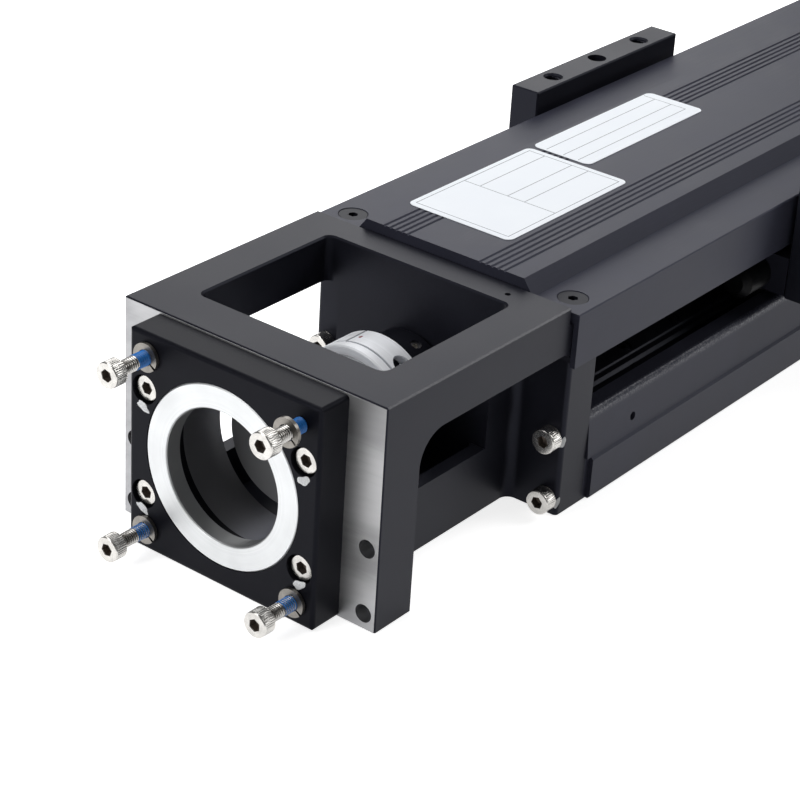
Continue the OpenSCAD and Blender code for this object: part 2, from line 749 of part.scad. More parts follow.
wing_seat = 4.6;
module wing(sx) {
    x0 = sx > 0 ? saddle_w/2 : -saddle_w/2 - wing_t;
    wx = sx*(saddle_w/2 + wing_t/2);
    e = 0.4;
    color("#2c2d33") difference() {
        // every outer edge is broken
        intersection() {
            translate([x0, 0, 0]) run_y(front_y, rear_y)
                polygon([[e, wing_z], [wing_t - e, wing_z], [wing_t, wing_z + e],
                    [wing_t, wing_h - e], [wing_t - e, wing_h], [e, wing_h], [0, wing_h - e],
                    [0, wing_z + e]]);
            translate([x0, 0, 0]) linear_extrude(far)
                polygon([[0, front_y + e], [e, front_y], [wing_t - e, front_y], [wing_t, front_y + e],
                    [wing_t, rear_y - e], [wing_t - e, rear_y], [e, rear_y], [0, rear_y - e]]);
            run_x(x0, wing_t) polygon([[front_y, 0], [rear_y, 0], [rear_y, wing_h - e],
                [rear_y - e, wing_h], [front_y + e, wing_h], [front_y, wing_h - e]]);
        }
        for (y = [-wing_hole_y, wing_hole_y]) translate([wx, carriage_y + y, wing_h - 14]) {
            cylinder(d = 5, h = 15);
            translate([0, 0, 14 - 0.6]) cylinder(d1 = 5, d2 = 6.6, h = 0.8);
        }
        translate([wx, carriage_y, wing_h - 10]) cylinder(d = 6, h = 11);
        at_wing_screws(sx) {
            translate([0, 0, -1]) cylinder(d = m5 + 0.5, h = wing_t + 2);
            translate([0, 0, wing_seat]) cylinder(d = m5_head + 0.6, h = wing_t);
        }
    }
}
module left_wing() { wing(-1); }
module right_wing() { wing(1); }

module wing_screws() {
    color("#c9c6c0") for (sx = [-1, 1]) at_wing_screws(sx) translate([0, 0, wing_seat]) m5_screw(wing_seat + 11);
}

module at_nut_screws(y) {
    for (a = [60, 120, 240, 300])
        translate([nut_pcd/2*cos(a), y, axis_z + nut_pcd/2*sin(a)]) children();
}

module ball_nut() {
    color("#8f9194") difference() {
        union() {
            intersection() {
                translate([0, nut_front, axis_z]) along_y() cylinder(d = nut_flange_d, h = nut_flange_t);
                translate([-nut_flange_w/2, nut_front, axis_z - nut_half_h])
                    cube([nut_flange_w, nut_flange_t, 2*nut_half_h]);
            }
            translate([0, nut_front + nut_flange_t - 1, axis_z]) along_y() cylinder(d = nut_d, h = nut_len - nut_flange_t + 1);
        }
        translate([0, nut_front - 1, axis_z]) along_y() cylinder(d = screw_d + 2*fit, h = nut_len + 2);
        for (y = [nut_front - eps, nut_front + nut_len - 3])
            translate([0, y, axis_z]) along_y() cylinder(d = screw_d + 4, h = 3 + eps);
        at_nut_screws(nut_front - 1) along_y() {
            cylinder(d = m4 + 0.4, h = nut_flange_t + 2);
            cylinder(d = m4_head + 0.5, h = m4_head_h + 1.4);
        }
    }
}

module nut_screws() {
    seat = m4_head_h + 0.4;
    color("#3a3a3d") at_nut_screws(nut_front + seat) towards_motor() m4_screw(nut_flange_t - seat + 10);
}

module nut_wipers() {
    color("#1b1b1d") for (y = [nut_front, nut_front + nut_len - 3])
        translate([0, y, axis_z]) along_y() tube(screw_d + 4 - fit, screw_d + 0.2, 3);
}

// ---- Bearings ----

// Rings of one ball bearing, with a groove for the balls
ball_d = 4.2;
ball_count = 9;
mid_d = (brg_d + journal_d)/2;
module bearing_outer(y) {
    ring_t = 2.6;
    color("#a7aaad") translate([0, y, axis_z]) along_y() difference() {
        tube(brg_d, brg_d - 2*ring_t, brg_w);
        translate([0, 0, brg_w/2]) rotate_extrude() translate([mid_d/2, 0]) circle(d = ball_d + 4*fit);
    }
}
module bearing_inner(y) {
    ring_t = 2.6;
    color("#b4b7ba") translate([0, y, axis_z]) along_y() difference() {
        tube(journal_d + 2*ring_t, journal_d + 0.02, brg_w);
        translate([0, 0, brg_w/2]) rotate_extrude() translate([mid_d/2, 0]) circle(d = ball_d + 4*fit);
    }
}
module bearing_balls(y) {
    color("#d8dadc") translate([0, y + brg_w/2, axis_z]) along_y()
        for (i = [0:ball_count - 1]) rotate([0, 0, i*360/ball_count]) translate([mid_d/2, 0, 0])
            sphere(d = ball_d);
}

module front_bearing_outers() { for (i = [0, 1]) bearing_outer(front_brg_y + i*brg_w); }
module front_bearing_inners() { for (i = [0, 1]) bearing_inner(front_brg_y + i*brg_w); }
module front_bearing_balls() { for (i = [0, 1]) bearing_balls(front_brg_y + i*brg_w); }
module rear_bearing_outer() { bearing_outer(rear_brg_y); }
module rear_bearing_inner() { bearing_inner(rear_brg_y); }
module rear_bearing_balls() { bearing_balls(rear_brg_y); }

retainer_d = 40;
module at_retainer(y) {
    for (a = [45, 135, 225, 315])
        translate([17*cos(a), y, axis_z + 17*sin(a)]) children();
}
module bearing_retainer() {
    spigot = base_front - front_brg_y - 2*brg_w;
    bore = screw_d + 3;
    color("#3b3c41") difference() {
        union() {
            translate([0, base_front, axis_z]) along_y() cylinder(d = retainer_d, h = retainer_t);
            translate([0, base_front + 1, axis_z]) towards_motor() cylinder(d = brg_d, h = spigot + 1);
        }
        translate([0, base_front - far/4, axis_z]) along_y() cylinder(d = bore, h = far/2);
        at_retainer(base_front - 1) along_y() cylinder(d = m3 + 0.4, h = retainer_t + 2);
        at_retainer(base_front + retainer_t - m3_head_h) along_y() cylinder(d = m3_head + 0.4, h = 5);
    }
}
module retainer_screws() {
    color("#3a3a3d") at_retainer(base_front + retainer_t - m3_head_h) along_y() m3_screw(8);
}

// ---- Screw and coupling ----

circlip_y = rear_brg_y + brg_w + fit;
shaft_end = circlip_y + 1.9;
module ball_screw() {
    color("#b7babd") translate([0, 0, axis_z]) difference() {
        union() {
            // threaded length, with turned ends
            translate([0, thread_start + 1, 0]) along_y() cylinder(d = screw_d, h = thread_end - thread_start - 2);
            translate([0, thread_start, 0]) along_y() cylinder(d1 = screw_d - 2, d2 = screw_d, h = 1);
            translate([0, thread_end - 1, 0]) along_y() cylinder(d1 = screw_d, d2 = screw_d - 2, h = 1);
            // bearing seats
            translate([0, lock_nut_y, 0]) along_y() cylinder(d = journal_d, h = thread_start - lock_nut_y + 1);
            translate([0, thread_end - 1, 0]) along_y() cylinder(d = journal_d, h = shaft_end - thread_end + 1);
            // the end that the coupling grips
            translate([0, coupling_y + coupling_len - hub_len + 0.5, 0]) along_y()
                cylinder(d = stub_d, h = lock_nut_y - coupling_y - coupling_len + hub_len);
        }
        // groove for the circlip
        translate([0, circlip_y - 0.02, 0]) along_y() tube(journal_d + 2, journal_d - 1, 1.14);
    }
}

module rear_circlip() {
    color("#2c2c2e") translate([0, circlip_y, axis_z]) along_y()
        rotate_extrude(angle = 320) translate([journal_d/2 - 0.45, 0]) square([2.6, 1]);
}

module bearing_spacer() {
    y0 = lock_nut_y + lock_nut_len;
    color("#9a9c9f") translate([0, y0, axis_z]) along_y() tube(journal_d + 5, journal_d + 0.04, front_brg_y - y0);
}

module lock_nut() {
    slots = 4;
    color("#1c1c1f") translate([0, lock_nut_y, axis_z]) along_y() difference() {
        tube(lock_nut_d, journal_d + 0.04, lock_nut_len);
        for (i = [0:slots - 1]) rotate([0, 0, i*360/slots + 45])
            translate([lock_nut_d/2 - 1.6, -2, -1]) cube([4, 4, 4.5]);
        // radial hole for the locking screw
        translate([0, 0, lock_nut_len/2 + 1]) rotate([0, 90, lock_screw_a])
            translate([0, 0, journal_d/2 + 1]) cylinder(d = m3 + 2*fit, h = far/4);
    }
}
lock_screw_a = -70;

module lock_nut_screw() {
    len = lock_nut_d/2 - journal_d/2 - 1.6;
    color("#b9b9b9") translate([0, lock_nut_y, axis_z]) along_y()
        translate([0, 0, lock_nut_len/2 + 1]) rotate([0, 90, lock_screw_a])
            translate([0, 0, journal_d/2 + 1]) difference() {
                cylinder(d = m3, h = len);
                translate([0, 0, len - 1.4]) cylinder(d = 1.5/cos(30), h = 3, $fn = 6);
            }
}

// One clamping hub: slit along and across, with a pocket for its screw.
// Its clamping end is at z = 0.
slit = 0.8;
clamp_len = hub_len*0.77;
clamp_r = coupling_d/2 - 7.9;
clamp_seat = 5;
module hub(bore, clamp_a) {
    r = coupling_d/2;
    e = 0.4;
    screw_r = clamp_r;
    difference() {
        union() {
            translate([0, 0, e]) cylinder(r = r, h = hub_len - 2*e);
            cylinder(r1 = r - e, r2 = r, h = e);
            translate([0, 0, hub_len - e]) cylinder(r1 = r, r2 = r - e, h = e);
        }
        translate([0, 0, -1]) cylinder(d = bore, h = hub_len + 2);
        rotate([0, 0, clamp_a]) {
            // the cut along the hub, and the cut across behind it
            translate([0, -slit/2, -1]) cube([far, slit, clamp_len + 1]);
            translate([1, -far/2, clamp_len - slit]) cube([far, far, slit]);
            // the screw's hole and the pocket for its head
            translate([screw_r, far/2, clamp_len/2]) rotate([90, 0, 0]) cylinder(d = m3 + 0.4, h = far);
            translate([screw_r, -clamp_seat, clamp_len/2]) rotate([90, 0, 0])
                cylinder(d = m3_head + 0.5, h = far);
        }
        // holes that clear the disc pack's bolts
        for (a = [0, 180]) rotate([0, 0, a + clamp_a + 135]) translate([r - 6, 0, -1])
            cylinder(d = 5, h = hub_len + 2);
    }
}

motor_clamp_a = 65;
screw_clamp_a = 107;
module coupling_motor_hub() {
    color("#c3c5c8") translate([0, coupling_y, axis_z]) along_y() hub(motor_bore, motor_clamp_a);
}
module coupling_screw_hub() {
    color("#d4d6d9") translate([0, coupling_y + coupling_len, axis_z]) towards_motor() hub(stub_d + 0.04, screw_clamp_a);
}
// A flexible disc against each hub, and the spacer between them
module coupling_discs() {
    color("#9fa1a4") for (y = [hub_len, coupling_len - hub_len - disc_t])
        translate([0, coupling_y + y, axis_z]) along_y() tube(spacer_d + 5, stub_d + 6, disc_t);
}
module coupling_spacer() {
    color("#b9bbbe") translate([0, coupling_y + hub_len + disc_t, axis_z]) along_y()
        tube(spacer_d, stub_d + 6, coupling_len - 2*hub_len - 2*disc_t);
}

module coupling_screws() {
    color("#3a3a3d") {
        translate([0, coupling_y, axis_z]) along_y() rotate([0, 0, motor_clamp_a])
            translate([clamp_r, -clamp_seat, clamp_len/2]) rotate([90, 0, 0]) m3_screw(12);
        translate([0, coupling_y + coupling_len, axis_z]) towards_motor() rotate([0, 0, screw_clamp_a])
            translate([clamp_r, -clamp_seat, clamp_len/2]) rotate([90, 0, 0]) m3_screw(12);
    }
}

// ---- Stops ----

module front_bumpers() {
    color("#18181a") for (sx = [-1, 1]) translate([sx*bumper_x, front_y, bumper_z])
        towards_motor() bumper();
}
module rear_bumpers() {
    color("#18181a") for (sx = [-1, 1]) translate([sx*bumper_x, rear_y, bumper_z])
        along_y() bumper();
}
module bumper() {
    cylinder(d = bumper_d, h = bumper_len - 2);
    translate([0, 0, bumper_len - 2]) cylinder(d1 = bumper_d, d2 = bumper_d - 4, h = 2);
}

base_extrusion();
motor_housing();
motor_plate();
centring_ring();
plate_screws();
motor_screws();
spring_washers();
housing_screws();
top_cover();
cover_screws();
rear_block();
rear_block_screws();
rear_cap();
left_rail();
right_rail();
rail_screws();
front_bumpers();
rear_bumpers();
front_bearing_outers();
front_bearing_balls();
front_bearing_inners();
bearing_retainer();
retainer_screws();
rear_bearing_outer();
rear_bearing_balls();
rear_bearing_inner();
rear_circlip();
ball_screw();
bearing_spacer();
lock_nut();
lock_nut_screw();
coupling_motor_hub();
coupling_discs();
coupling_spacer();
coupling_screw_hub();
coupling_screws();
saddle();
left_wing();
right_wing();
wing_screws();
ball_nut();
nut_screws();
nut_wipers();
guide_block_left_front();
guide_block_left_rear();
guide_block_right_front();
guide_block_right_rear();
block_end_caps();
block_screws();
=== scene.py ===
# %% [markdown]
# # A ball screw linear module
# This lesson dresses an exact CAD model of a covered linear module: an extruded base, a
# milled motor housing, a cover and a carriage whose wings run outside. The CAD solids are
# loaded as a fixed frame. What the solids leave out, such as threads, knurls, stickers and
# paint marks, is built here in mesh code, and every solid gets a procedural finish.

# %% Load the frame
import json
import math

import bmesh
import bpy
from mathutils import Matrix, Vector

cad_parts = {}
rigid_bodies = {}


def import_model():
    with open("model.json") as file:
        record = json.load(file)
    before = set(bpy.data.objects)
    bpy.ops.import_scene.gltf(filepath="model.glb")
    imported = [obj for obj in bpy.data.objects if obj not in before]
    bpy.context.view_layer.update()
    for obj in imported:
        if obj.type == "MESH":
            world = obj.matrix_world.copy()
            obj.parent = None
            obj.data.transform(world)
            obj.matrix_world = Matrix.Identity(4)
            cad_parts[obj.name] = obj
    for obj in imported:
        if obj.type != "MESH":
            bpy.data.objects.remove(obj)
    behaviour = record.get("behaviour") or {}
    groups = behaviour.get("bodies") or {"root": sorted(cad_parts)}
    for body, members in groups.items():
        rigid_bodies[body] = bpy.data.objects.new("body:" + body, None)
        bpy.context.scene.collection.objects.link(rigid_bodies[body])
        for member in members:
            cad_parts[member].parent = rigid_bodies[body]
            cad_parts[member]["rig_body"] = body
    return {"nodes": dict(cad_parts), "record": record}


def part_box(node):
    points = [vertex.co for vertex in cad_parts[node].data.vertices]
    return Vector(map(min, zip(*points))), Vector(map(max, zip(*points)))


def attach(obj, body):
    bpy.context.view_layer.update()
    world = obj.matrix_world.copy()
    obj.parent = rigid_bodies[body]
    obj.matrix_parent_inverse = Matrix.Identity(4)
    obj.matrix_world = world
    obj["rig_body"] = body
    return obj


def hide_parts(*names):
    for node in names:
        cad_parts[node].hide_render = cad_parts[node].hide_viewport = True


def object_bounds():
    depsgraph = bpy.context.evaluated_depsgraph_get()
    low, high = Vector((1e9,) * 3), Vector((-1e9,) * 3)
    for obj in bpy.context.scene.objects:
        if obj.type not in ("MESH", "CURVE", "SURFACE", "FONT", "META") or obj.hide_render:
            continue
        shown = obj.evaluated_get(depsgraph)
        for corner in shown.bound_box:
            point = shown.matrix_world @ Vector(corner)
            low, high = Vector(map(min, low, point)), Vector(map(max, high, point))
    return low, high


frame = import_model()
cad_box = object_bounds()
nodes = frame["nodes"]
MM = 0.001

# %% [markdown]
# Every place is measured from the CAD nodes, so that a piece still fits when a size in
# the CAD model changes. A node's box gives its lowest and highest corners in metres. The
# cap screws that show are all M4, and half a head leads from the corner of a group's box
# to a screw's centre.

# %% Measure the places that pieces are set against
def low(node):
    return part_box(node)[0]


def high(node):
    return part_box(node)[1]


def middle(node):
    return (low(node) + high(node)) / 2


M4 = {"d": 4.0, "pitch": 0.7, "head": 7.0, "height": 4.0, "key": 3.0}
HEAD_R = M4["head"] / 2 * MM
AXIS = Vector((0, 0, middle("centring_ring").z))
PLATE_FRONT = low("motor_plate").y
HOUSE_FRONT = low("motor_housing").y
COVER_TOP = high("top_cover").z
COVER_FRONT = low("top_cover").y
HOUSE_SCREW = high("housing_screws") - Vector((HEAD_R, 0, HEAD_R))
HOUSE_SCREW_LOW = low("housing_screws").z + HEAD_R
print("screw axis height:", round(AXIS.z, 5), "plate front:", round(PLATE_FRONT, 5))

# %% [markdown]
# ## Camera
# The view is from the front right and above, with a long lens and a slight roll. The
# camera's axes are built from three angles, so that each can be read and changed. A
# camera could also be aimed with a constraint, but that leaves no place for the roll.

# %% Camera
AZIMUTH = math.radians(36.765)
ELEVATION = math.radians(28.312)
ROLL = math.radians(-3.645)
CAMERA_PLACE = Vector((0.339876, -0.609075, 0.330716))
SENSOR = 36.0
LENS = 108.529
SHIFT_X, SHIFT_Y = -0.00155, 0.0011
NEAREST = 0.01


def camera_axes(azimuth, elevation, roll):
    back = Vector((math.sin(azimuth) * math.cos(elevation),
                   -math.cos(azimuth) * math.cos(elevation), math.sin(elevation)))
    level = Vector((math.cos(azimuth), math.sin(azimuth), 0))
    up = back.cross(level)
    right = math.cos(roll) * level - math.sin(roll) * up
    above = math.sin(roll) * level + math.cos(roll) * up
    return right, above, back


def place_camera():
    data = bpy.data.cameras.new("camera")
    data.sensor_width = SENSOR
    data.lens = LENS
    data.shift_x = SHIFT_X
    data.shift_y = SHIFT_Y
    data.clip_start = NEAREST
    camera = bpy.data.objects.new("camera", data)
    bpy.context.scene.collection.objects.link(camera)
    turn = Matrix(camera_axes(AZIMUTH, ELEVATION, ROLL)).transposed().to_4x4()
    camera.matrix_world = Matrix.Translation(CAMERA_PLACE) @ turn
    bpy.context.scene.camera = camera


place_camera()
print("camera is", round((CAMERA_PLACE - AXIS).length, 3), "m from the screw's axis")

# %% [markdown]
# ## Shader maths as Python
# A material is a graph of nodes, which is slow to write by hand. `Value` wraps one output
# socket and turns +, -, * and comparisons into Math nodes, so a mask reads like a formula.
# The reflected forms let a plain number stand on the left, as in `1 - mask`.

# %% Value: one socket that can be used in an expression
class Value:
    def __init__(self, graph, socket):
        self.graph = graph
        self.socket = socket

    def math(self, operation, *terms):
        return self.graph.node("Math", {"operation": operation}, dict(enumerate(terms)))

    def __add__(self, other): return self.math("ADD", self, other)
    def __radd__(self, other): return self.math("ADD", other, self)
    def __sub__(self, other): return self.math("SUBTRACT", self, other)
    def __rsub__(self, other): return self.math("SUBTRACT", other, self)
    def __mul__(self, other): return self.math("MULTIPLY", self, other)
    def __rmul__(self, other): return self.math("MULTIPLY", other, self)
    def __gt__(self, other): return self.math("GREATER_THAN", self, other)
    def __lt__(self, other): return self.math("LESS_THAN", self, other)
    def __abs__(self): return self.math("ABSOLUTE", self)
    def sine(self): return self.math("SINE", self)
    def root(self): return self.math("SQRT", self)
    def most(self, other): return self.math("MAXIMUM", self, other)

    def ramp(self, start, end):
        """0 at start and below, 1 at end and above, smooth between."""
        return self.graph.node("MapRange", {"interpolation_type": "SMOOTHSTEP", "clamp": True},
                               {"Value": self, "From Min": start, "From Max": end})


print("beside its operators, a value has:", [name for name in vars(Value) if name[0] != "_"])

# %% [markdown]
# `Graph` holds one tree of nodes, of a material or of the world. Its `node` method makes
# every node: the settings are set first, then each socket gets a number, a colour or a
# link. Colours are mixed in a Mix node, because a Math node would turn them grey.

# %% Graph: one tree of nodes
class Graph:
    def __init__(self, tree):
        self.tree = tree

    def node(self, kind, settings=None, values=None, output=0):
        made = self.tree.nodes.new("ShaderNode" + kind)
        for key, value in (settings or {}).items():
            setattr(made, key, value)
        for key, value in (values or {}).items():
            self.feed(made.inputs[key], value)
        return Value(self, made.outputs[output])

    def feed(self, socket, value):
        if isinstance(value, Value):
            self.tree.links.new(value.socket, socket)
        elif socket.type == "RGBA":
            socket.default_value = (*value, 1)
        else:
            socket.default_value = value

    def blend(self, factor, first, second):
        """A colour between two, by a factor."""
        return self.node("Mix", {"data_type": "RGBA"}, {0: factor, 6: first, 7: second}, output=2)

    def between(self, factor, first, second):
        """A number between two, by a factor."""
        return self.node("Mix", {"data_type": "FLOAT"}, {0: factor, 2: first, 3: second})

    def seen_by(self, first, second):
        """1 for either of two kinds of ray, such as Camera, and 0 for the others."""
        outputs = self.node("LightPath").socket.node.outputs
        first, second = (Value(self, outputs[f"Is {ray} Ray"]) for ray in (first, second))
        return first.most(second)


print("a graph has:", [name for name in vars(Graph) if name[0] != "_"])

# %% [markdown]
# `Finish` is the graph of one material, with its Principled shader. Noise and bump are in
# millimetres on the piece, so that a grain keeps its size on pieces of every size. A UV
# map would do the same, but each piece would have to be unwrapped for it.

# %% Finish: one material and the graph behind it
OBJECT_PLACE = 3  # the output of Texture Coordinate that rides with the object


class Finish(Graph):
    def __init__(self, name):
        self.material = bpy.data.materials.new(name)
        self.material.use_nodes = True
        super().__init__(self.material.node_tree)
        self.shader = self.tree.nodes["Principled BSDF"]

    def set(self, **values):
        """Base_Color=..., Roughness=... and so on, on the shader itself."""
        for key, value in values.items():
            self.feed(self.shader.inputs[key.replace("_", " ")], value)

    def point(self):
        """The point on the piece, in millimetres, as a vector."""
        place = self.node("TexCoord", output=OBJECT_PLACE)
        return self.node("VectorMath", {"operation": "SCALE"}, {0: place, "Scale": 1 / MM})

    def axes(self, point):
        """A point's x, y and z, as three values."""
        parts = self.node("SeparateXYZ", None, {0: point}).socket.node
        return [Value(self, output) for output in parts.outputs]

    def noise(self, vector, scale, detail=2.0, rough=0.5):
        return self.node("TexNoise", None, {"Vector": vector, "Scale": scale, "Detail": detail,
                                            "Roughness": rough})

    def stretch(self, vector, x=1.0, y=1.0, z=1.0):
        """The same point with its axes scaled, so that a noise runs in lines."""
        return self.node("VectorMath", {"operation": "MULTIPLY"}, {0: vector, 1: (x, y, z)})

    def bump(self, height, depth, strength):
        """Relief from a height; depth is in millimetres."""
        normal = self.node("Bump", None, {"Height": height, "Distance": depth * MM,
                                          "Strength": strength})
        self.feed(self.shader.inputs["Normal"], normal)


print("a finish adds:", [name for name in vars(Finish) if name[0] != "_"])

# %% [markdown]
# ## Finishes
# Black anodised aluminium is a thin dyed glass-like layer on metal. Its colour is nearly
# black, but the fine texture left by the cutter or by blasting spreads its highlights,
# so a smooth dark colour alone looks like paint. A fine grain in roughness and bump, and
# slightly lighter rubbed areas, bring back the metal.

# %% Black anodised: milled and extruded
DYE = (0.74, 0.77, 1.0)
BLUE_BLACK = (0.90, 0.93, 1.35)
EVEN = (1.0, 1.0, 1.0)


def dyed_skin(finish, point, lined, level, rough):
    """A dyed black's colour, lighter where it is rubbed, its roughness, and its fine grain.

    lined is the point with its axes stretched along the tool's lines.
    """
    dark = tuple(level * c for c in BLUE_BLACK)
    rubbed = tuple(1.5 * c + 0.003 for c in dark)
    cloud = finish.noise(point, scale=0.05, detail=3.0)
    fine = finish.noise(lined, scale=3.0, detail=4.0, rough=0.65)
    handled = (cloud * 0.6 + fine * 0.4).ramp(0.42, 0.68)
    color = finish.blend(handled * 0.5, dark, rubbed)
    return color, fine * 0.16 + cloud * 0.10 + (rough - 0.13), fine


def black_anodised(name, level=0.012, lines=EVEN, grain=0.012, rough=0.40, gloss=0.15):
    finish = Finish(name)
    point = finish.point()
    lined = finish.stretch(point, *lines)
    color, roughness, fine = dyed_skin(finish, point, lined, level, rough)
    finish.set(Base_Color=color, Roughness=roughness, Metallic=0.0, Specular_IOR_Level=gloss,
               Specular_Tint=DYE)
    finish.bump(fine, grain, strength=0.6)
    return finish


milled_black = black_anodised("milled_black", 0.016)
plate_black = black_anodised("plate_black", 0.004, gloss=0.09, rough=0.43)
wing_black = black_anodised("wing_black", 0.012, gloss=0.16, rough=0.42)
cover_black = black_anodised("cover_black", 0.032, lines=(1.0, 0.03, 1.0), grain=0.014, rough=0.42)
black_steel = black_anodised("black_steel", 0.007, gloss=0.10, rough=0.38)
print("black finishes:", milled_black.material.name, cover_black.material.name)

# %% [markdown]
# The base is a blasted profile. Its long upper edges are rounded, and they glitter where
# blasting left them coarse. The glitter is a coat that shows only where a coarse noise is
# high, inside a band near the top.

# %% The blasted base
GLITTER_BAND = 3.2  # millimetres down from the top


def base_finish():
    finish = black_anodised("base_black", 0.030, lines=(1.0, 0.5, 1.0), grain=0.045, rough=0.42)
    point = finish.point()
    z = finish.axes(point)[2]
    top = high("base_extrusion").z / MM
    rounded = ((z - (top - GLITTER_BAND)) * 0.55).ramp(0.0, 1.0) * (z < (top - 0.02))
    glitter = finish.noise(point, scale=1.6, detail=3.0, rough=0.75).ramp(0.44, 0.60)
    patchy = finish.noise(point, scale=0.12).ramp(0.2, 0.8)
    finish.set(Coat_Weight=rounded * (glitter * 0.9 + 0.05) * (patchy * 0.4 + 0.6),
               Coat_Roughness=0.32)
    return finish


base_black = base_finish()
print("the base glitters above", round(high("base_extrusion").z / MM - GLITTER_BAND, 1), "mm")

# %% [markdown]
# The housing is anodised first, and its front face, bore and screw holes are cut after it.
# So one solid has two finishes: black, and bright metal with the arcs of a face mill. It
# could be two materials on two sets of faces. A mask made from the place on the piece
# needs no picked faces, and it still fits when the solid's faces change.

# %% Where the housing is bare
# in millimetres: the flange's thickness, a little over its bore's radius, the square of a
# little over its screw holes' radius, and how deep the front face's finish goes
FLANGE = 14.0
BORE_REACH = 22.3
HOLE_REACH_SQUARED = 7.8
SKIN = 0.06


def from_axis(x, z):
    """The distance from the screw's axis and the height over it, in millimetres."""
    height = z - AXIS.z / MM
    return (x * x + height * height).root(), height


def bare_places(x, y, z):
    """Masks of all the bare metal, and of the bore's wall behind the front face, which gets
    painted shade.
    """
    front = HOUSE_FRONT / MM
    in_flange = y < (front + FLANGE + 0.1)
    in_bore = (from_axis(x, z)[0] < BORE_REACH) * in_flange
    across = abs(x) - HOUSE_SCREW.x / MM
    lower = z - HOUSE_SCREW_LOW / MM
    upper = z - HOUSE_SCREW.z / MM
    in_hole = ((across * across + lower * lower) < HOLE_REACH_SQUARED).most(
        (across * across + upper * upper) < HOLE_REACH_SQUARED)
    bare = (y < (front + SKIN)).most(in_bore).most(in_hole * in_flange)
    return bare, in_bore * (y > (front + SKIN))


print("bare metal reaches", FLANGE, "mm behind", round(HOUSE_FRONT / MM, 1))

# %% [markdown]
# A face mill leaves wide arcs, because its teeth swing round the spindle. Here a sine of
# the distance from a centre outside the face draws the arcs, and noises that are
# stretched along x make each pass a little lighter or darker.

# %% The housing's two finishes in one
ARC_RIGHT, ARC_BELOW = 60.0, 130.0
ARC_RATE = 2.6
POLISHED_EDGE = 0.42


def milled_silver(finish, point, x, z):
    """The colour of the cut face, its streaks, and the marks that its bump follows."""
    side, drop = x - ARC_RIGHT, from_axis(x, z)[1] + ARC_BELOW
    arc = ((side * side + drop * drop).root() * ARC_RATE).sine()
    streak = finish.noise(finish.stretch(point, 0.12, 1.0, 1.6), scale=1.0, detail=3.0, rough=0.6)
    passes = finish.noise(finish.stretch(point, x=0.5), scale=0.07)
    marks = arc * 0.08 + streak
    shade = (marks * 0.4 + passes.ramp(0.3, 0.7) * 0.7).ramp(0.1, 1.0)
    return finish.blend(shade, (0.30, 0.30, 0.305), (0.47, 0.47, 0.475)), streak, marks


def housing_finish():
    finish = Finish("housing_black")
    point = finish.point()
    x, y, z = finish.axes(point)
    bare, bore_wall_shade = bare_places(x, y, z)
    black, black_rough, fine = dyed_skin(finish, point, point, 0.010, 0.40)
    silver, streak, marks = milled_silver(finish, point, x, z)
    # painted shade: the bore's wall behind the front face is darker than the cut face
    silver = finish.blend(bore_wall_shade, silver, (0.20, 0.20, 0.205))
    # handling polishes the deck's long edges
    side = high("motor_housing").x / MM
    deck = high("motor_housing").z / MM
    polished = ((abs(x) > (side - POLISHED_EDGE)) * (z > (deck - POLISHED_EDGE))
                * (y > (HOUSE_FRONT / MM + 0.5)))
    finish.set(Base_Color=finish.blend(bare, black, silver), Metallic=bare * 0.9,
               Roughness=finish.between(bare, black_rough, streak * 0.2 + 0.33),
               Specular_IOR_Level=0.15, Specular_Tint=DYE,
               Coat_Weight=polished * (fine * 0.7 + 0.05), Coat_Roughness=0.25)
    finish.bump(finish.between(bare, fine * 0.5, marks * 0.35), 0.012, strength=0.6)
    return finish


housing_black = housing_finish()
print("housing finish has", len(housing_black.tree.nodes), "nodes")

# %% [markdown]
# Turned aluminium shows fine rings round its axis. The distance from the axis, times a
# high frequency, gives the rings; a noise that only varies with that distance makes some
# rings stronger than others. Inside a bore and before a face the colour is darkened: that
# is painted shade, where little light gets in.

# %% Turned bare aluminium
NO_BORE, NO_FACE = 0.0, -1000.0


def inner_radius(node):
    """The smallest distance of a solid's corners from the screw's axis, in millimetres."""
    corners = nodes[node].data.vertices
    return min(math.hypot(v.co.x - AXIS.x, v.co.z - AXIS.z) for v in corners) / MM


def turned_aluminium(name, tone, rough, rings, metallic, bore=NO_BORE, face=NO_FACE, shade_factor=0.22):
    """Rings round the axis; the shade factor darkens the colour inside a bore and before a face,
    as painted shade.
    """
    finish = Finish(name)
    point = finish.point()
    x, y, z = finish.axes(point)
    radius = from_axis(x, z)[0]
    ring = (radius * rings + y * rings).sine()
    across = finish.node("CombineXYZ", None, {0: radius * 2.0, 1: y * 2.0, 2: 0.0})
    uneven = finish.noise(across, scale=1.5, detail=3.0, rough=0.6)
    cloud = finish.noise(point, scale=0.12)
    bright = tuple(min(1.0, c * 1.08) for c in tone)
    dull = tuple(c * 0.90 for c in tone)
    # painted shade: the colour inside a bore and before a face is darkened, where little light
    # reaches
    painted_shade_mask = (radius < (bore + 0.25)).most(y < (face + 0.3))
    skin = finish.blend((uneven * 0.6 + cloud * 0.4).ramp(0.3, 0.7), dull, bright)
    finish.set(Base_Color=finish.blend(painted_shade_mask, skin, tuple(c * shade_factor for c in tone)),
               Metallic=metallic, Roughness=uneven * 0.14 + cloud * 0.08 + (rough - 0.1))
    finish.bump(ring * 0.3 + uneven, 0.006, strength=0.5)
    return finish


# the ring's bore and the motor hub's front face get painted shade
ring_aluminium = turned_aluminium("ring_aluminium", (0.74, 0.755, 0.765), 0.42, rings=9.0,
                                  metallic=0.7, bore=inner_radius("centring_ring"), shade_factor=0.42)
hub_aluminium = turned_aluminium("hub_aluminium", (0.86, 0.875, 0.91), 0.48, rings=5.0,
                                 metallic=0.35, face=low("coupling_motor_hub").y / MM)
print("the ring is open to a radius of", round(inner_radius("centring_ring"), 2), "mm")
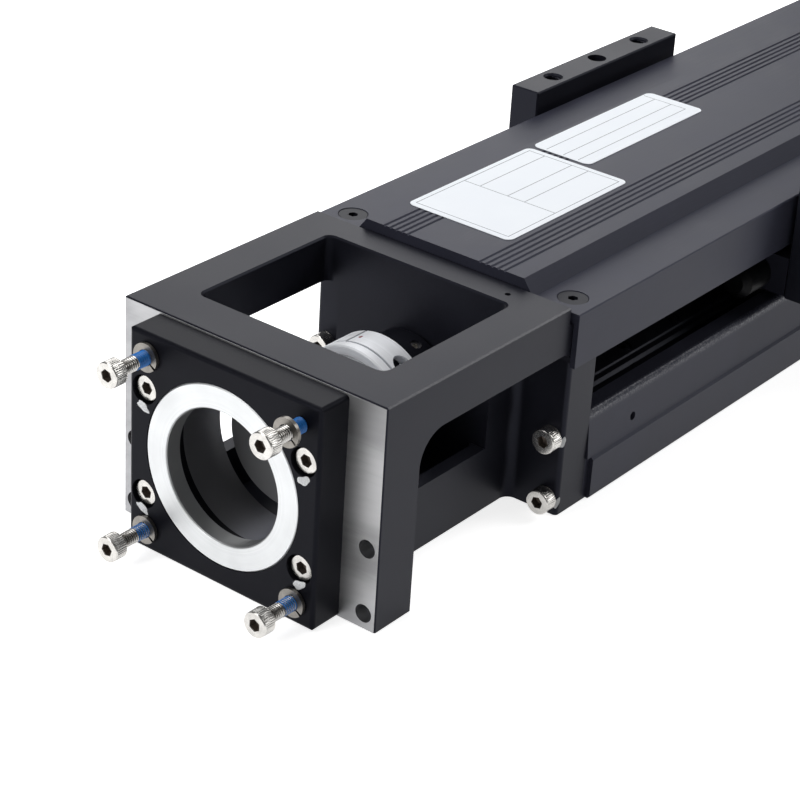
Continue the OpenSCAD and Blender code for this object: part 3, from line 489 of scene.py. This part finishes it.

# %% [markdown]
# Fasteners and guides are steel. Plated screws are slightly warm and cloudy, ground rails
# are grey with lengthwise lines, and the roots of a thread get a darker steel as painted
# shade in its valleys. One function makes them all, because only tone, roughness and the
# way of the lines differ.

# %% Steels
def steel(name, tone, rough, metallic=0.95, lines=EVEN, spread=0.18):
    finish = Finish(name)
    point = finish.point()
    cloud = finish.noise(point, scale=0.5, detail=3.0, rough=0.6)
    fine = finish.noise(finish.stretch(point, *lines), scale=4.0, detail=3.0, rough=0.6)
    dull = tuple(c * (1 - spread) for c in tone)
    bright = tuple(min(1.0, c * (1 + spread / 2)) for c in tone)
    finish.set(Base_Color=finish.blend((cloud * 0.6 + fine * 0.4).ramp(0.35, 0.65), dull, bright),
               Metallic=metallic, Roughness=cloud * 0.12 + fine * 0.10 + (rough - 0.11))
    finish.bump(fine, 0.004, strength=0.5)
    return finish


screw_steel = steel("screw_steel", (0.60, 0.585, 0.56), 0.24)
thread_steel = steel("thread_steel", (0.46, 0.45, 0.435), 0.26)
# painted shade: the roots are darker than the crests, where shade falls in the thread's valleys
thread_root_shade = steel("thread_root_shade", (0.16, 0.145, 0.13), 0.4, metallic=0.7)
washer_steel = steel("washer_steel", (0.26, 0.245, 0.225), 0.34)
# painted shade: a dark steel for the sheet inside the sockets, where shade falls
socket_shade = steel("socket_shade", (0.16, 0.13, 0.11), 0.45, metallic=0.6)
ground_steel = steel("ground_steel", (0.52, 0.53, 0.54), 0.25, lines=(1.0, 0.04, 1.0))
bright_steel = steel("bright_steel", (0.72, 0.73, 0.74), 0.12, spread=0.05)
print("one steel takes", len(screw_steel.tree.nodes), "nodes")

# %% [markdown]
# Rubber, plastic and paint are not metals: they have a colour of their own and a weak
# highlight. A fine grain in roughness and bump keeps them from looking like wet enamel.

# %% Rubber and plastic
def matt(name, tone, rough, grain, gloss=0.5):
    finish = Finish(name)
    point = finish.point()
    fine = finish.noise(point, scale=2.5, detail=4.0, rough=0.7)
    cloud = finish.noise(point, scale=0.2)
    lighter = tuple(c * 1.6 + 0.002 for c in tone)
    finish.set(Base_Color=finish.blend((cloud * 0.5 + fine * 0.5).ramp(0.4, 0.7), tone, lighter),
               Roughness=fine * 0.15 + (rough - 0.07), Metallic=0.0, Specular_IOR_Level=gloss)
    finish.bump(fine, grain, strength=0.5)
    return finish


rubber = matt("rubber", (0.002, 0.002, 0.0025), 0.50, 0.02, gloss=0.08)
plastic = matt("plastic", (0.016, 0.016, 0.018), 0.45, 0.012)
print("matt finishes:", rubber.material.name, plastic.material.name)

# %% [markdown]
# Each solid names its material in the CAD record, so most of them can be dressed by that
# name alone. The few that look different on the real module are listed by node.

# %% Give each solid its finish
FINISHES = {
    "motor_housing": housing_black,
    "centring_ring": ring_aluminium, "spring_washers": washer_steel,
    "coupling_motor_hub": hub_aluminium, "coupling_screw_hub": hub_aluminium,
    "base_extrusion": base_black, "top_cover": cover_black, "motor_plate": plate_black,
    "left_wing": wing_black, "right_wing": wing_black,
    "rear_cap": plastic, "block_end_caps": plastic,
    "front_bumpers": rubber, "rear_bumpers": rubber, "nut_wipers": rubber,
}
BY_SLOT = {
    "black_anodised": milled_black, "extruded_black": base_black,
    "bare_aluminium": hub_aluminium, "zinc_steel": screw_steel, "black_steel": black_steel,
    "ground_steel": ground_steel, "bright_steel": bright_steel, "black_rubber": rubber,
    "black_plastic": plastic,
}


def dress_solids():
    slots = {p["node"]: p["material_slot"] for p in frame["record"]["subparts"]}
    for name, solid in nodes.items():
        finish = FINISHES.get(name, BY_SLOT[slots[name]])
        solid.data.materials.clear()
        solid.data.materials.append(finish.material)


dress_solids()
print("dressed", len(nodes), "solids")

# %% [markdown]
# ## Mesh helpers
# Each detail is a list of points and faces. `piece` turns them into an object that rides
# on a body. It also merges doubled points and turns all faces outward, so the small
# functions that draw a shape need not care about either.

# %% Piece: an object from points and faces
SHARP = math.radians(32)


def piece(name, points, faces, finish, body, slot, smooth=True):
    mesh = bpy.data.meshes.new(name)
    mesh.from_pydata([tuple(p) for p in points], [], faces)
    mesh.validate()
    work = bmesh.new()
    work.from_mesh(mesh)
    bmesh.ops.remove_doubles(work, verts=work.verts, dist=1e-7)
    bmesh.ops.recalc_face_normals(work, faces=work.faces)
    work.to_mesh(mesh)
    work.free()
    mesh.materials.append(finish.material)
    made = bpy.data.objects.new(name, mesh)
    bpy.context.scene.collection.objects.link(made)
    if smooth:
        mesh.shade_smooth()
        mesh.set_sharp_from_angle(angle=SHARP)
    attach(made, body)
    return made


print("edges over", round(math.degrees(SHARP)), "degrees stay sharp")

# %% [markdown]
# Turned parts are rings of points that follow each other, with quads between them and a
# face at each end. Rings could come from Blender's own circles and cylinders, but with
# lists the same code also makes hexagons, knurls and drops.

# %% Rings, and lists of points and faces
def angles(count):
    return [2 * math.pi * i / count for i in range(count)]


def outline(reach, z, count):
    """A closed row of points at one height; reach gives the distance at an angle."""
    return [(reach(a) * math.cos(a), reach(a) * math.sin(a), z) for a in angles(count)]


def circle(radius, z, count):
    return outline(lambda a: radius, z, count)


def hexagon(flat, z, count):
    """A hexagon with as many points as a circle; flat is the distance to its sides."""
    return outline(lambda a: flat / math.cos(a % (math.pi / 3) - math.pi / 6), z, count)


def rings(rows, closed_first=True):
    """Rows of as many points each, joined by quads; the first row may stay open."""
    count = len(rows[0])
    last = (len(rows) - 1) * count
    faces = [(start + j, start + (j + 1) % count, start + count + (j + 1) % count,
              start + count + j) for start in range(0, last, count) for j in range(count)]
    if closed_first:
        faces.append(tuple(range(count)))
    faces.append(tuple(reversed(range(last, last + count))))
    return [p for row in rows for p in row], faces


def join(parts):
    """Several lists of points and faces as one."""
    points, faces = [], []
    for some_points, some_faces in parts:
        offset = len(points)
        points += some_points
        faces += [tuple(i + offset for i in f) for f in some_faces]
    return points, faces


def moved(part, matrix):
    points, faces = part
    return [matrix @ Vector(p) for p in points], faces


print("a short hexagon bar has", len(rings([hexagon(1, 0, 6), hexagon(1, 1, 6)])[1]), "faces")

# %% [markdown]
# ## Socket cap screws
# A cap screw has a knurled head with a rounded top edge, and a hexagon socket with a cone
# at its foot. The knurl could be bump alone, but it shows against the light at the
# head's edge, so it is real geometry here: the radius dips once for each tooth.

# %% Screw head and socket
TEETH = 36


def head_part(diameter, height, key):
    """A head that stands on z = 0, in metres, with its socket open at the top."""
    count = TEETH * 4
    r = diameter / 2
    flat = key / 2
    edge = diameter * 0.045
    knurl = diameter * 0.02

    def knurled(z):
        return outline(lambda a: r - knurl * (0.5 - 0.5 * math.cos(TEETH * a)), z, count)

    rows = [circle(r * 0.5, 0, count), circle(r - edge, 0, count), circle(r, edge * 0.6, count),
            knurled(edge * 1.1), knurled(height - edge * 2.2),
            circle(r, height - edge * 1.7, count)]
    for step in range(1, 5):
        turn = step / 4 * math.pi / 2
        rows.append(circle(r - edge * (1 - math.cos(turn)), height - edge + edge * math.sin(turn),
                           count))
    rows.append([(x * 1.05, y * 1.05, z) for x, y, z in hexagon(flat, height, count)])
    rows.append(hexagon(flat, height - diameter * 0.02, count))
    rows.append(hexagon(flat, height * 0.45, count))
    rows.append(circle(flat * 0.25, height * 0.33, count))
    return rings(rows)


def socket_part(height, key):
    """A dark sheet of painted shade on the wall and foot of a socket, a hair inside the head's
    own.
    """
    count = 60
    flat = key / 2 - 0.02 * MM
    return rings([hexagon(flat, height - 0.2 * MM, count), hexagon(flat, height * 0.47, count),
                  circle(key / 8, height * 0.36, count)], closed_first=False)


head = head_part(M4["head"] * MM, M4["height"] * MM, M4["key"] * MM)
print("a head has", len(head[1]), "faces")

# %% [markdown]
# A rolled thread is a strip wound round the shank: each turn of the strip is one pitch
# higher, so the crests are true helices. It can also be cut by displacing a cylinder with
# a texture, but that gives no clean crest at this scale. Crests and roots are separate
# pieces, so that the roots can take a darker steel as painted shade.

# %% Wound thread
STEPS = 24
ROOTS, CRESTS = (0, 1), (2, 3)


def wound_strip(profile, pitch, start, end, sides=ROOTS + CRESTS, inward=False):
    """A strip between two heights; profile lists (share of the pitch, radius) for its corners.

    sides picks the faces: root, rise, crest and fall. inward turns them to the axis.
    """
    per = len(profile)
    last = (int(math.ceil((end - start) / pitch)) + 2) * STEPS
    points, faces = [], []
    for t in range(last + 1):
        angle = 2 * math.pi * t / STEPS
        base = start - pitch + pitch * t / STEPS
        points += [(radius * math.cos(angle), radius * math.sin(angle),
                    min(max(base + pitch * share, start), end)) for share, radius in profile]

    def index(t, k):
        return (t + (k // per) * STEPS) * per + k % per

    for t in range(last):
        for k in sides:
            if t + 1 + (k + 1) // per * STEPS > last:
                continue
            quad = (index(t, k), index(t + 1, k), index(t + 1, k + 1), index(t, k + 1))
            if len({round(points[i][2], 9) for i in quad}) > 1:
                faces.append(quad[:1] + quad[:0:-1] if inward else quad)
    return points, faces


def thread_part(diameter, pitch, start, end, depth, sides=ROOTS + CRESTS):
    """A screw's thread; depth is a share of the pitch."""
    crest = diameter / 2
    root = crest - depth * pitch
    profile = [(0.0, root), (0.12, root), (0.44, crest), (0.60, crest)]
    return wound_strip(profile, pitch, start, end, sides)


def cap_screw(length):
    """An M4 screw down to -length: head, crests, roots, and a sheet of painted shade in the
    socket.
    """
    d, pitch, across, height, key = (M4[k] * MM for k in ("d", "pitch", "head", "height", "key"))
    tip = -length + 0.4 * MM
    span = (d * 0.995, pitch, tip, 0.0, 0.68)
    tip_face = (circle(d * 0.42, tip, STEPS), [tuple(range(STEPS))])
    crests = join([thread_part(*span, sides=CRESTS), tip_face])
    return (head_part(across, height, key), crests, thread_part(*span, sides=ROOTS),
            socket_part(height, key))


print("an M4 screw has", sum(len(part[1]) for part in cap_screw(14 * MM)), "faces")

# %% [markdown]
# The screws stand where the CAD solids stand. Each group is read from its node's box: the
# outermost corners less half a head give the centres. A small turn about its own axis for
# each screw keeps the sockets from all lining up.

# %% Place the visible cap screws
def corner_centres(node):
    """The four (x, z) centres of a group of screws from its box."""
    a, b = low(node), high(node)
    return [(x, z) for x in (a.x + HEAD_R, b.x - HEAD_R) for z in (a.z + HEAD_R, b.z - HEAD_R)]


def screw_stands(node, turns, to_motor):
    """The length under the heads, and a matrix for each screw, turned by its own degrees."""
    if to_motor:
        seat = low(node).y + M4["height"] * MM
        length = high(node).y - seat
    else:
        seat = high(node).y - M4["height"] * MM
        length = seat - low(node).y
    facing = Matrix.Rotation(math.radians(90 if to_motor else -90), 4, "X")
    return length, [Matrix.Translation((x, seat, z)) @ facing
                    @ Matrix.Rotation(math.radians(turn), 4, "Z")
                    for (x, z), turn in zip(corner_centres(node), turns)]


def add_screw_set(name, node, turns, to_motor=True, slot="zinc_steel"):
    length, stands = screw_stands(node, turns, to_motor)
    heads, crests, roots, socket_shade_sheets = (join([moved(part, stand) for stand in stands])
                                     for part in cap_screw(length))
    body = nodes[node]["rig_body"]
    made = piece(name, *heads, screw_steel, body, slot)
    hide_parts(node)
    piece(name + "_threads", *crests, thread_steel, body, slot, smooth=False)
    # the roots take the darker steel: painted shade in the thread's valleys
    piece(name + "_roots", *roots, thread_root_shade, body, slot, smooth=False)
    # a dark sheet inside each socket: painted shade
    piece(name + "_sockets", *socket_shade_sheets, socket_shade, body, slot)
    return stands


motor_stands = add_screw_set("motor_screw_set", "motor_screws", (12, 47, 31, 5))
add_screw_set("plate_screw_set", "plate_screws", (20, 3, 41, 55))
add_screw_set("housing_screw_set", "housing_screws", (8, 33, 14, 50))
add_screw_set("rear_screw_set", "rear_block_screws", (12, 47, 31, 5), to_motor=False)
print("motor screws stand at", [stand.translation.to_tuple(4) for stand in motor_stands])

# %% [markdown]
# Thread lock is a dried blue coat on the last turns of the thread. It follows the crests,
# so it is the same wound strip a little larger, and its two ends stop at any height. Each
# band has slightly other ends, as bands put on by a brush have.

# %% Blue thread lock
LOCK_DIAMETER = 4.12
LOCK_FROM, LOCK_TO = -10.4, -5.7  # millimetres under the head
thread_lock = matt("thread_lock", (0.005, 0.150, 0.50), 0.45, 0.03)


def add_thread_lock():
    parts = []
    for n, stand in enumerate(motor_stands):
        start = (LOCK_FROM - 0.3 * (n % 2)) * MM
        end = (LOCK_TO + 0.2 * (n % 3)) * MM
        band = thread_part(LOCK_DIAMETER * MM, M4["pitch"] * MM, start, end, depth=0.5)
        parts.append(moved(band, stand))
    return piece("thread_lock_bands", *join(parts), thread_lock, "base", None)


print("thread lock has", len(add_thread_lock().data.polygons), "faces")

# %% [markdown]
# The assembler marks a tightened screw with a dab of white paint from its head onto the
# part, so that a screw that turns shows. Each dab here is a low, uneven drop that lies
# on a face beside its screw: rings that shrink as they rise, with two waves round them.

# %% A drop of paint
DROP = ((1.0, 0.0), (0.9, 0.7), (0.55, 1.0), (0.02, 1.05))


def dab_part(centre, along, across, out, length, width, seed, thick=0.12):
    """A drop; along, across and out are directions on its face, and seed picks its waves."""
    rows = []
    for reach, height in DROP:
        ring = []
        for a in angles(20):
            uneven = 1 + 0.12 * math.sin(3 * a + seed) + 0.08 * math.sin(5 * a + 2 * seed)
            u = math.cos(a) * length / 2 * reach * uneven
            v = math.sin(a) * width / 2 * reach * uneven
            ring.append(centre + along * u + across * v + out * (height * thick * MM))
        rows.append(ring)
    return rings(rows)


print("a drop is", len(DROP), "rings high")

# %% [markdown]
# The dabs sit where a brush reaches: on the plate below each of its screws, and on the
# corner of the rear flange beside the right-hand ones. Each is set from its screw's
# centre, so it follows when a screw is moved. A decal on the black finish would be less
# work, but paint stands proud and catches the light.

# %% White paint marks
PLATE_DAB = (4.2 * MM, 2.3 * MM)
FLANGE_DAB = (3.4 * MM, 1.7 * MM)
paint = matt("white_paint", (0.62, 0.63, 0.64), 0.55, 0.03)


def plate_dabs():
    """On the plate, under its four screws."""
    out = Vector((0, -1, 0))
    for n, (x, z) in enumerate(corner_centres("plate_screws")):
        side = 1 if x > 0 else -1
        rise = -4.3 if z < AXIS.z else -4.9
        centre = Vector((x + side * 0.3 * MM, PLATE_FRONT, z + rise * MM))
        along = Vector((1, 0, 0.5 * side)).normalized()
        yield dab_part(centre, along, along.cross(out), out, *PLATE_DAB, n)


def flange_dabs():
    """On the rear flange's corner, outboard of the right-hand screws' heads."""
    along, across = Vector((0.25, 0.25, 0.94)), Vector((0.66, 0.66, -0.36))
    for n, z in enumerate((HOUSE_SCREW_LOW, HOUSE_SCREW.z)):
        corner = Vector((high("motor_housing").x - 0.45 * MM,
                         low("housing_screws").y + 4.4 * MM, z - 0.6 * MM))
        yield dab_part(corner, along, across, Vector((0.7, -0.7, 0)), *FLANGE_DAB, 7 + n, 0.25)


marks = piece("paint_marks", *join([*plate_dabs(), *flange_dabs()]), paint, "base", None)
print("paint marks have", len(marks.data.polygons), "faces")

# %% [markdown]
# A red dot beside the slit of the coupling's rear hub is the same drop, lower and smaller.
# It rides on the screw's body, so it shows that the coupling turns.

# %% Dot on the hub
DOT_TURN = math.radians(101)
DOT_FROM_END = 5.0
DOT_SIZE = (1.5 * MM, 0.9 * MM)
red = matt("red_paint", (0.16, 0.018, 0.022), 0.5, 0.02)


def add_hub_dot():
    first, last = low("coupling_screw_hub"), high("coupling_screw_hub")
    radius = (last.x - first.x) / 2
    out = Vector((math.cos(DOT_TURN), 0, math.sin(DOT_TURN)))
    forward = Vector((0, 1, 0))
    centre = AXIS + out * (radius - 0.01 * MM) + Vector((0, last.y - DOT_FROM_END * MM, 0))
    part = dab_part(centre, forward, out.cross(forward), out, *DOT_SIZE, 3, 0.05)
    return piece("hub_dot", *part, red, nodes["coupling_screw_hub"]["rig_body"], None)


print("the dot has", len(add_hub_dot().data.polygons), "faces")

# %% [markdown]
# The wings' outer holes are tapped. An inner thread is the same wound strip turned inside
# out: its crests point to the hole's middle and its roots stay on the bore's wall.

# %% Threads in the wings' tapped holes
TAPPED = {"bore": 5.0, "pitch": 1.0, "depth": 11.0, "from_middle": 24, "below_top": 0.9}


def inner_thread_part(bore, pitch, start, end):
    root = bore / 2 - 0.02 * MM
    crest = root - 0.5 * pitch
    profile = [(0.0, root), (0.15, root), (0.5, crest), (0.65, crest)]
    return wound_strip(profile, pitch, start, end, inward=True)


def add_wing_threads():
    part = inner_thread_part(TAPPED["bore"] * MM, TAPPED["pitch"] * MM, -TAPPED["depth"] * MM, 0.0)
    parts = []
    for wing in ("left_wing", "right_wing"):
        centre = middle(wing)
        for side in (-TAPPED["from_middle"], TAPPED["from_middle"]):
            at = Vector((centre.x, centre.y + side * MM, high(wing).z - TAPPED["below_top"] * MM))
            parts.append(moved(part, Matrix.Translation(at)))
    return piece("wing_threads", *join(parts), wing_black, nodes["left_wing"]["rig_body"],
                 "black_anodised")


print("wing threads have", len(add_wing_threads().data.polygons), "faces")

# %% [markdown]
# Two stickers lie on the cover. They carry no print but thin ruled lines. A sticker is a
# film of its own with rounded corners, laid over the grooves, so its front edge shows
# their small gaps. The lines are masks in its finish. A texture could give them as well,
# but a mask stays sharp at any size.

# %% Sticker film and its ruled lines
RULE_HALF_WIDTH = 0.13
FILM_WHITES = (0.81, 0.845, 0.895), (0.835, 0.87, 0.915)
RULE_GREY = (0.09, 0.10, 0.12)


def sticker_finish(name, rules):
    """White film with ruled lines; a rule is (runs along, at, from, to) in millimetres."""
    finish = Finish(name)
    point = finish.point()
    x, y, _ = finish.axes(point)
    ruled = None
    for along, at, start, end in rules:
        side, run = (x, y) if along == "y" else (y, x)
        line = ((abs(side - at) < RULE_HALF_WIDTH) * (run > (start - RULE_HALF_WIDTH))
                * (run < (end + RULE_HALF_WIDTH)))
        ruled = line if ruled is None else ruled.most(line)
    cloud = finish.noise(point, scale=0.05)
    film = finish.blend(cloud.ramp(0.3, 0.7), *FILM_WHITES)
    finish.set(Base_Color=finish.blend(ruled * 0.85, film, RULE_GREY),
               Roughness=cloud * 0.1 + 0.40, Metallic=0.0, Specular_IOR_Level=0.2)
    finish.bump(finish.noise(point, scale=1.2), 0.006, strength=0.3)
    return finish


print("a ruled line is", 2 * RULE_HALF_WIDTH, "mm wide")

# %% [markdown]
# A sheet is three rounded outlines: its foot, the start of the bevel and its top. A flat
# plane would do from above, but a film has a thin bright edge that shows from the side.
# All places are in one table, because stickers are laid out by measure.

# %% Blank stickers
CORNER, BEVEL = 2.2, 0.03
FILM_FOOT, FILM_TOP = 0.02, 0.16
# x, and y from the cover's front edge, in millimetres: west, east, south, north
STICKERS = {
    "front_sticker": ((-24.8, 10.0, 15.7, 72.8),
                      [("x", 17.8, -23.2, 8.1), ("x", 70.8, -23.2, 8.1), ("x", 39.6, -23.2, 8.1),
                       ("y", -23.2, 17.8, 70.8), ("y", 8.1, 17.8, 70.8), ("y", -17.7, 39.6, 70.8),
                       ("y", -8.2, 39.6, 70.8), ("y", -2.4, 39.6, 70.8)]),
    "rear_sticker": ((-24.9, -4.8, 74.6, 136.4),
                     [("y", -20.3, 75.5, 132.8), ("y", -14.4, 75.5, 132.8),
                      ("y", -9.2, 75.5, 132.8), ("x", 132.8, -24.2, -9.2)]),
}


def sticker_part(west, east, south, north, foot, top):
    """A rounded sheet between two heights, in millimetres, with a bevelled top edge."""
    corners = ((east - CORNER, north - CORNER, 0), (west + CORNER, north - CORNER, 90),
               (west + CORNER, south + CORNER, 180), (east - CORNER, south + CORNER, 270))
    rows = []
    for height, reach in ((foot, CORNER), (top - BEVEL, CORNER), (top, CORNER - BEVEL)):
        rows.append([Vector(((cx + reach * math.cos(a)) * MM, (cy + reach * math.sin(a)) * MM,
                             height * MM))
                     for cx, cy, start in corners
                     for a in (math.radians(start + 90 * i / 8) for i in range(9))])
    return rings(rows)


def add_stickers():
    front, top = COVER_FRONT / MM, COVER_TOP / MM
    for name, ((west, east, south, north), rules) in STICKERS.items():
        placed = [(along, front + at, start, end) if along == "x"
                  else (along, at, front + start, front + end) for along, at, start, end in rules]
        sheet = sticker_part(west, east, front + south, front + north, top + FILM_FOOT,
                             top + FILM_TOP)
        piece(name, *sheet, sticker_finish(name + "_film", placed), "base", None)


add_stickers()
print("laid", len(STICKERS), "stickers")

# %% [markdown]
# ## Ball track on the screw
# The screw's track is a round groove wound at the lead. Each ring of the mesh is set a
# little further along, and its points are drawn in where they lie in the groove. A cut by
# a swept ball would be truer, but a boolean leaves long thin faces along the edge.

# %% The wound track of the ball screw
LEAD = 10 * MM
# the groove's half width is a share of the lead, and its depth a share of the radius
GROOVE_HALF_WIDTH = 0.17
GROOVE_DEPTH = 0.136


def row_along_y(reach, y, count):
    """A closed row of points round the y axis; reach gives the distance at an angle."""
    return [Vector((reach(a) * math.sin(a), y, reach(a) * math.cos(a))) for a in angles(count)]


def track_reach(radius, along, angle):
    """The distance from the axis at a point of the screw; along is measured from its start."""
    off = abs((along / LEAD - angle / (2 * math.pi)) % 1.0 - 0.5) / GROOVE_HALF_WIDTH
    return radius - GROOVE_DEPTH * radius * math.sqrt(max(0.0, 1 - off * off))


def screw_track_part(radius, start, end, count=40):
    """A shaft along y with one groove wound round it."""
    steps = int((end - start) / (LEAD / 24)) + 1
    heights = [start + (end - start) * s / steps for s in range(steps + 1)]
    return rings([row_along_y(lambda a: track_reach(radius, y - start, a), y, count)
                  for y in heights])


def shaft_part(radius, start, end, edge=0.4 * MM):
    """A plain round length with a small bevel at both ends."""
    profile = ((radius - edge, start), (radius, start + edge),
               (radius, end - edge), (radius - edge, end))
    return rings([row_along_y(lambda a: r, y, 48) for r, y in profile])


print("the groove is", round(2 * GROOVE_HALF_WIDTH * LEAD / MM, 1), "mm wide")

# %% [markdown]
# The ends of the screw are turned down: to the bearings' bore at both ends, and to the
# coupling's bore in front of the lock nut. The bearings' inner rings show where the seats
# begin, and they give the seats' radius as well.

# %% The whole screw in place of its plain solid
RING_WALL = 2.6  # an inner ring's thickness, in millimetres
SHAFT_END_R = 5.0


def add_screw_track():
    first, last = high("front_bearing_inners"), low("rear_bearing_inner")
    seat_r = (first.x - low("front_bearing_inners").x) / 2 - RING_WALL * MM
    screw_r = (high("ball_screw").x - low("ball_screw").x) / 2
    nut_y = low("lock_nut").y
    parts = [screw_track_part(screw_r * 0.999, first.y + 0.5 * MM, last.y - 0.5 * MM),
             shaft_part(seat_r, nut_y, first.y + 1 * MM),
             shaft_part(seat_r, last.y - 1 * MM, high("ball_screw").y - 0.1 * MM),
             shaft_part(SHAFT_END_R * MM, low("ball_screw").y, nut_y + 1 * MM)]
    made = piece("screw_with_track", *join(parts), ground_steel, nodes["ball_screw"]["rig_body"],
                 "ground_steel")
    made.location = AXIS
    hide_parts("ball_screw")


add_screw_track()
print("screw track from", round(low("ball_screw").y, 4), "to", round(high("ball_screw").y, 4))

# %% [markdown]
# ## World, floor and lamps
# The world gives a weak, even light. Its full white is seen only by the camera and through
# clear pieces, so the background is white while the lamps stay at the level where colours
# read as written. A stronger world would also whiten it, but would wash out the blacks.

# %% World
WHITE = (1, 1, 1)
WORLD_LIGHT, WORLD_SEEN = 0.20, 1.0


def make_world():
    world = bpy.data.worlds.new("studio")
    bpy.context.scene.world = world
    world.use_nodes = True
    graph = Graph(world.node_tree)
    ground = graph.tree.nodes["Background"]
    graph.feed(ground.inputs["Color"], WHITE)
    strength = graph.between(graph.seen_by("Camera", "Transmission"), WORLD_LIGHT, WORLD_SEEN)
    graph.feed(ground.inputs["Strength"], strength)


make_world()
print("the world lights with", WORLD_LIGHT, "and is seen as", WORLD_SEEN)

# %% [markdown] The floor is pale and plain. A glow is added for the camera and for
# mirrors alone, which lifts it to white and keeps the shadow that the object throws.

# %% Floor
FLOOR_TONE = (0.92, 0.92, 0.92)
FLOOR_GLOW = 0.78
FLOOR_REACH = 3.0
FLOOR_GAP = 0.2 * MM


def floor_finish():
    finish = Finish("floor_white")
    finish.set(Base_Color=FLOOR_TONE, Roughness=0.9)
    lit = Value(finish, finish.shader.outputs[0])
    glow = finish.node("Emission", None, {"Color": WHITE, "Strength": FLOOR_GLOW})
    lifted = finish.node("AddShader", None, {0: lit, 1: glow})
    seen = finish.seen_by("Camera", "Glossy")
    surface = finish.node("MixShader", None, {0: seen, 1: lit, 2: lifted})
    finish.feed(finish.tree.nodes["Material Output"].inputs["Surface"], surface)
    return finish


def make_floor():
    mesh = bpy.data.meshes.new("floor")
    mesh.from_pydata([(x * FLOOR_REACH, y * FLOOR_REACH, 0)
                      for x, y in ((-1, -1), (1, -1), (1, 1), (-1, 1))], [], [(0, 1, 2, 3)])
    mesh.materials.append(floor_finish().material)
    floor = bpy.data.objects.new("floor", mesh)
    floor.location.z = cad_box[0][2] - FLOOR_GAP
    bpy.context.scene.collection.objects.link(floor)
    return floor


print("the floor lies at", round(make_floor().location.z, 5))

# %% [markdown]
# Four round area lamps light the module: a large one overhead, one behind on the left,
# one behind on the right, and one in front on the left. The two behind draw the light
# along the cover's and the wings' edges, which black metal needs to be read at all.

# %% Lamps
AIM = Vector((0, -0.1, 0.03))
# place, diameter in metres and power in watts
LAMPS = {
    "overhead_lamp": ((-0.35, 0.05, 1.1), 0.9, 6.5),
    "left_rear_lamp": ((-0.80, 0.85, 0.62), 0.9, 4.6),
    "right_rear_lamp": ((0.66, 0.80, 0.72), 0.5, 3.4),
    "front_lamp": ((-0.30, -1.0, 0.55), 0.6, 4.2),
}


def add_lamp(name, place, size, power):
    data = bpy.data.lights.new(name, "AREA")
    data.shape = "DISK"
    data.size = size
    data.energy = power
    made = bpy.data.objects.new(name, data)
    made.location = place
    made.rotation_euler = (AIM - Vector(place)).to_track_quat("-Z", "Y").to_euler()
    bpy.context.scene.collection.objects.link(made)


for name, (place, size, power) in LAMPS.items():
    add_lamp(name, place, size, power)
print("lamps:", len(LAMPS), "with", round(sum(lamp[2] for lamp in LAMPS.values()), 1), "W in all")

# %% [markdown]
# ## Output
# The view transform is set to Standard, so that a colour comes out as it is written. A
# filmic one would soften the highlights, but it would also shift every colour.

# %% Render settings that a scene may set
bpy.context.scene.view_settings.view_transform = "Standard"
print("view transform:", bpy.context.scene.view_settings.view_transform)

# %% [markdown] The box of the solids alone is measured at the start, before any detail is
# added.

# %% Finish
print("wrote the boxes of", len(nodes), "solids and of the whole")
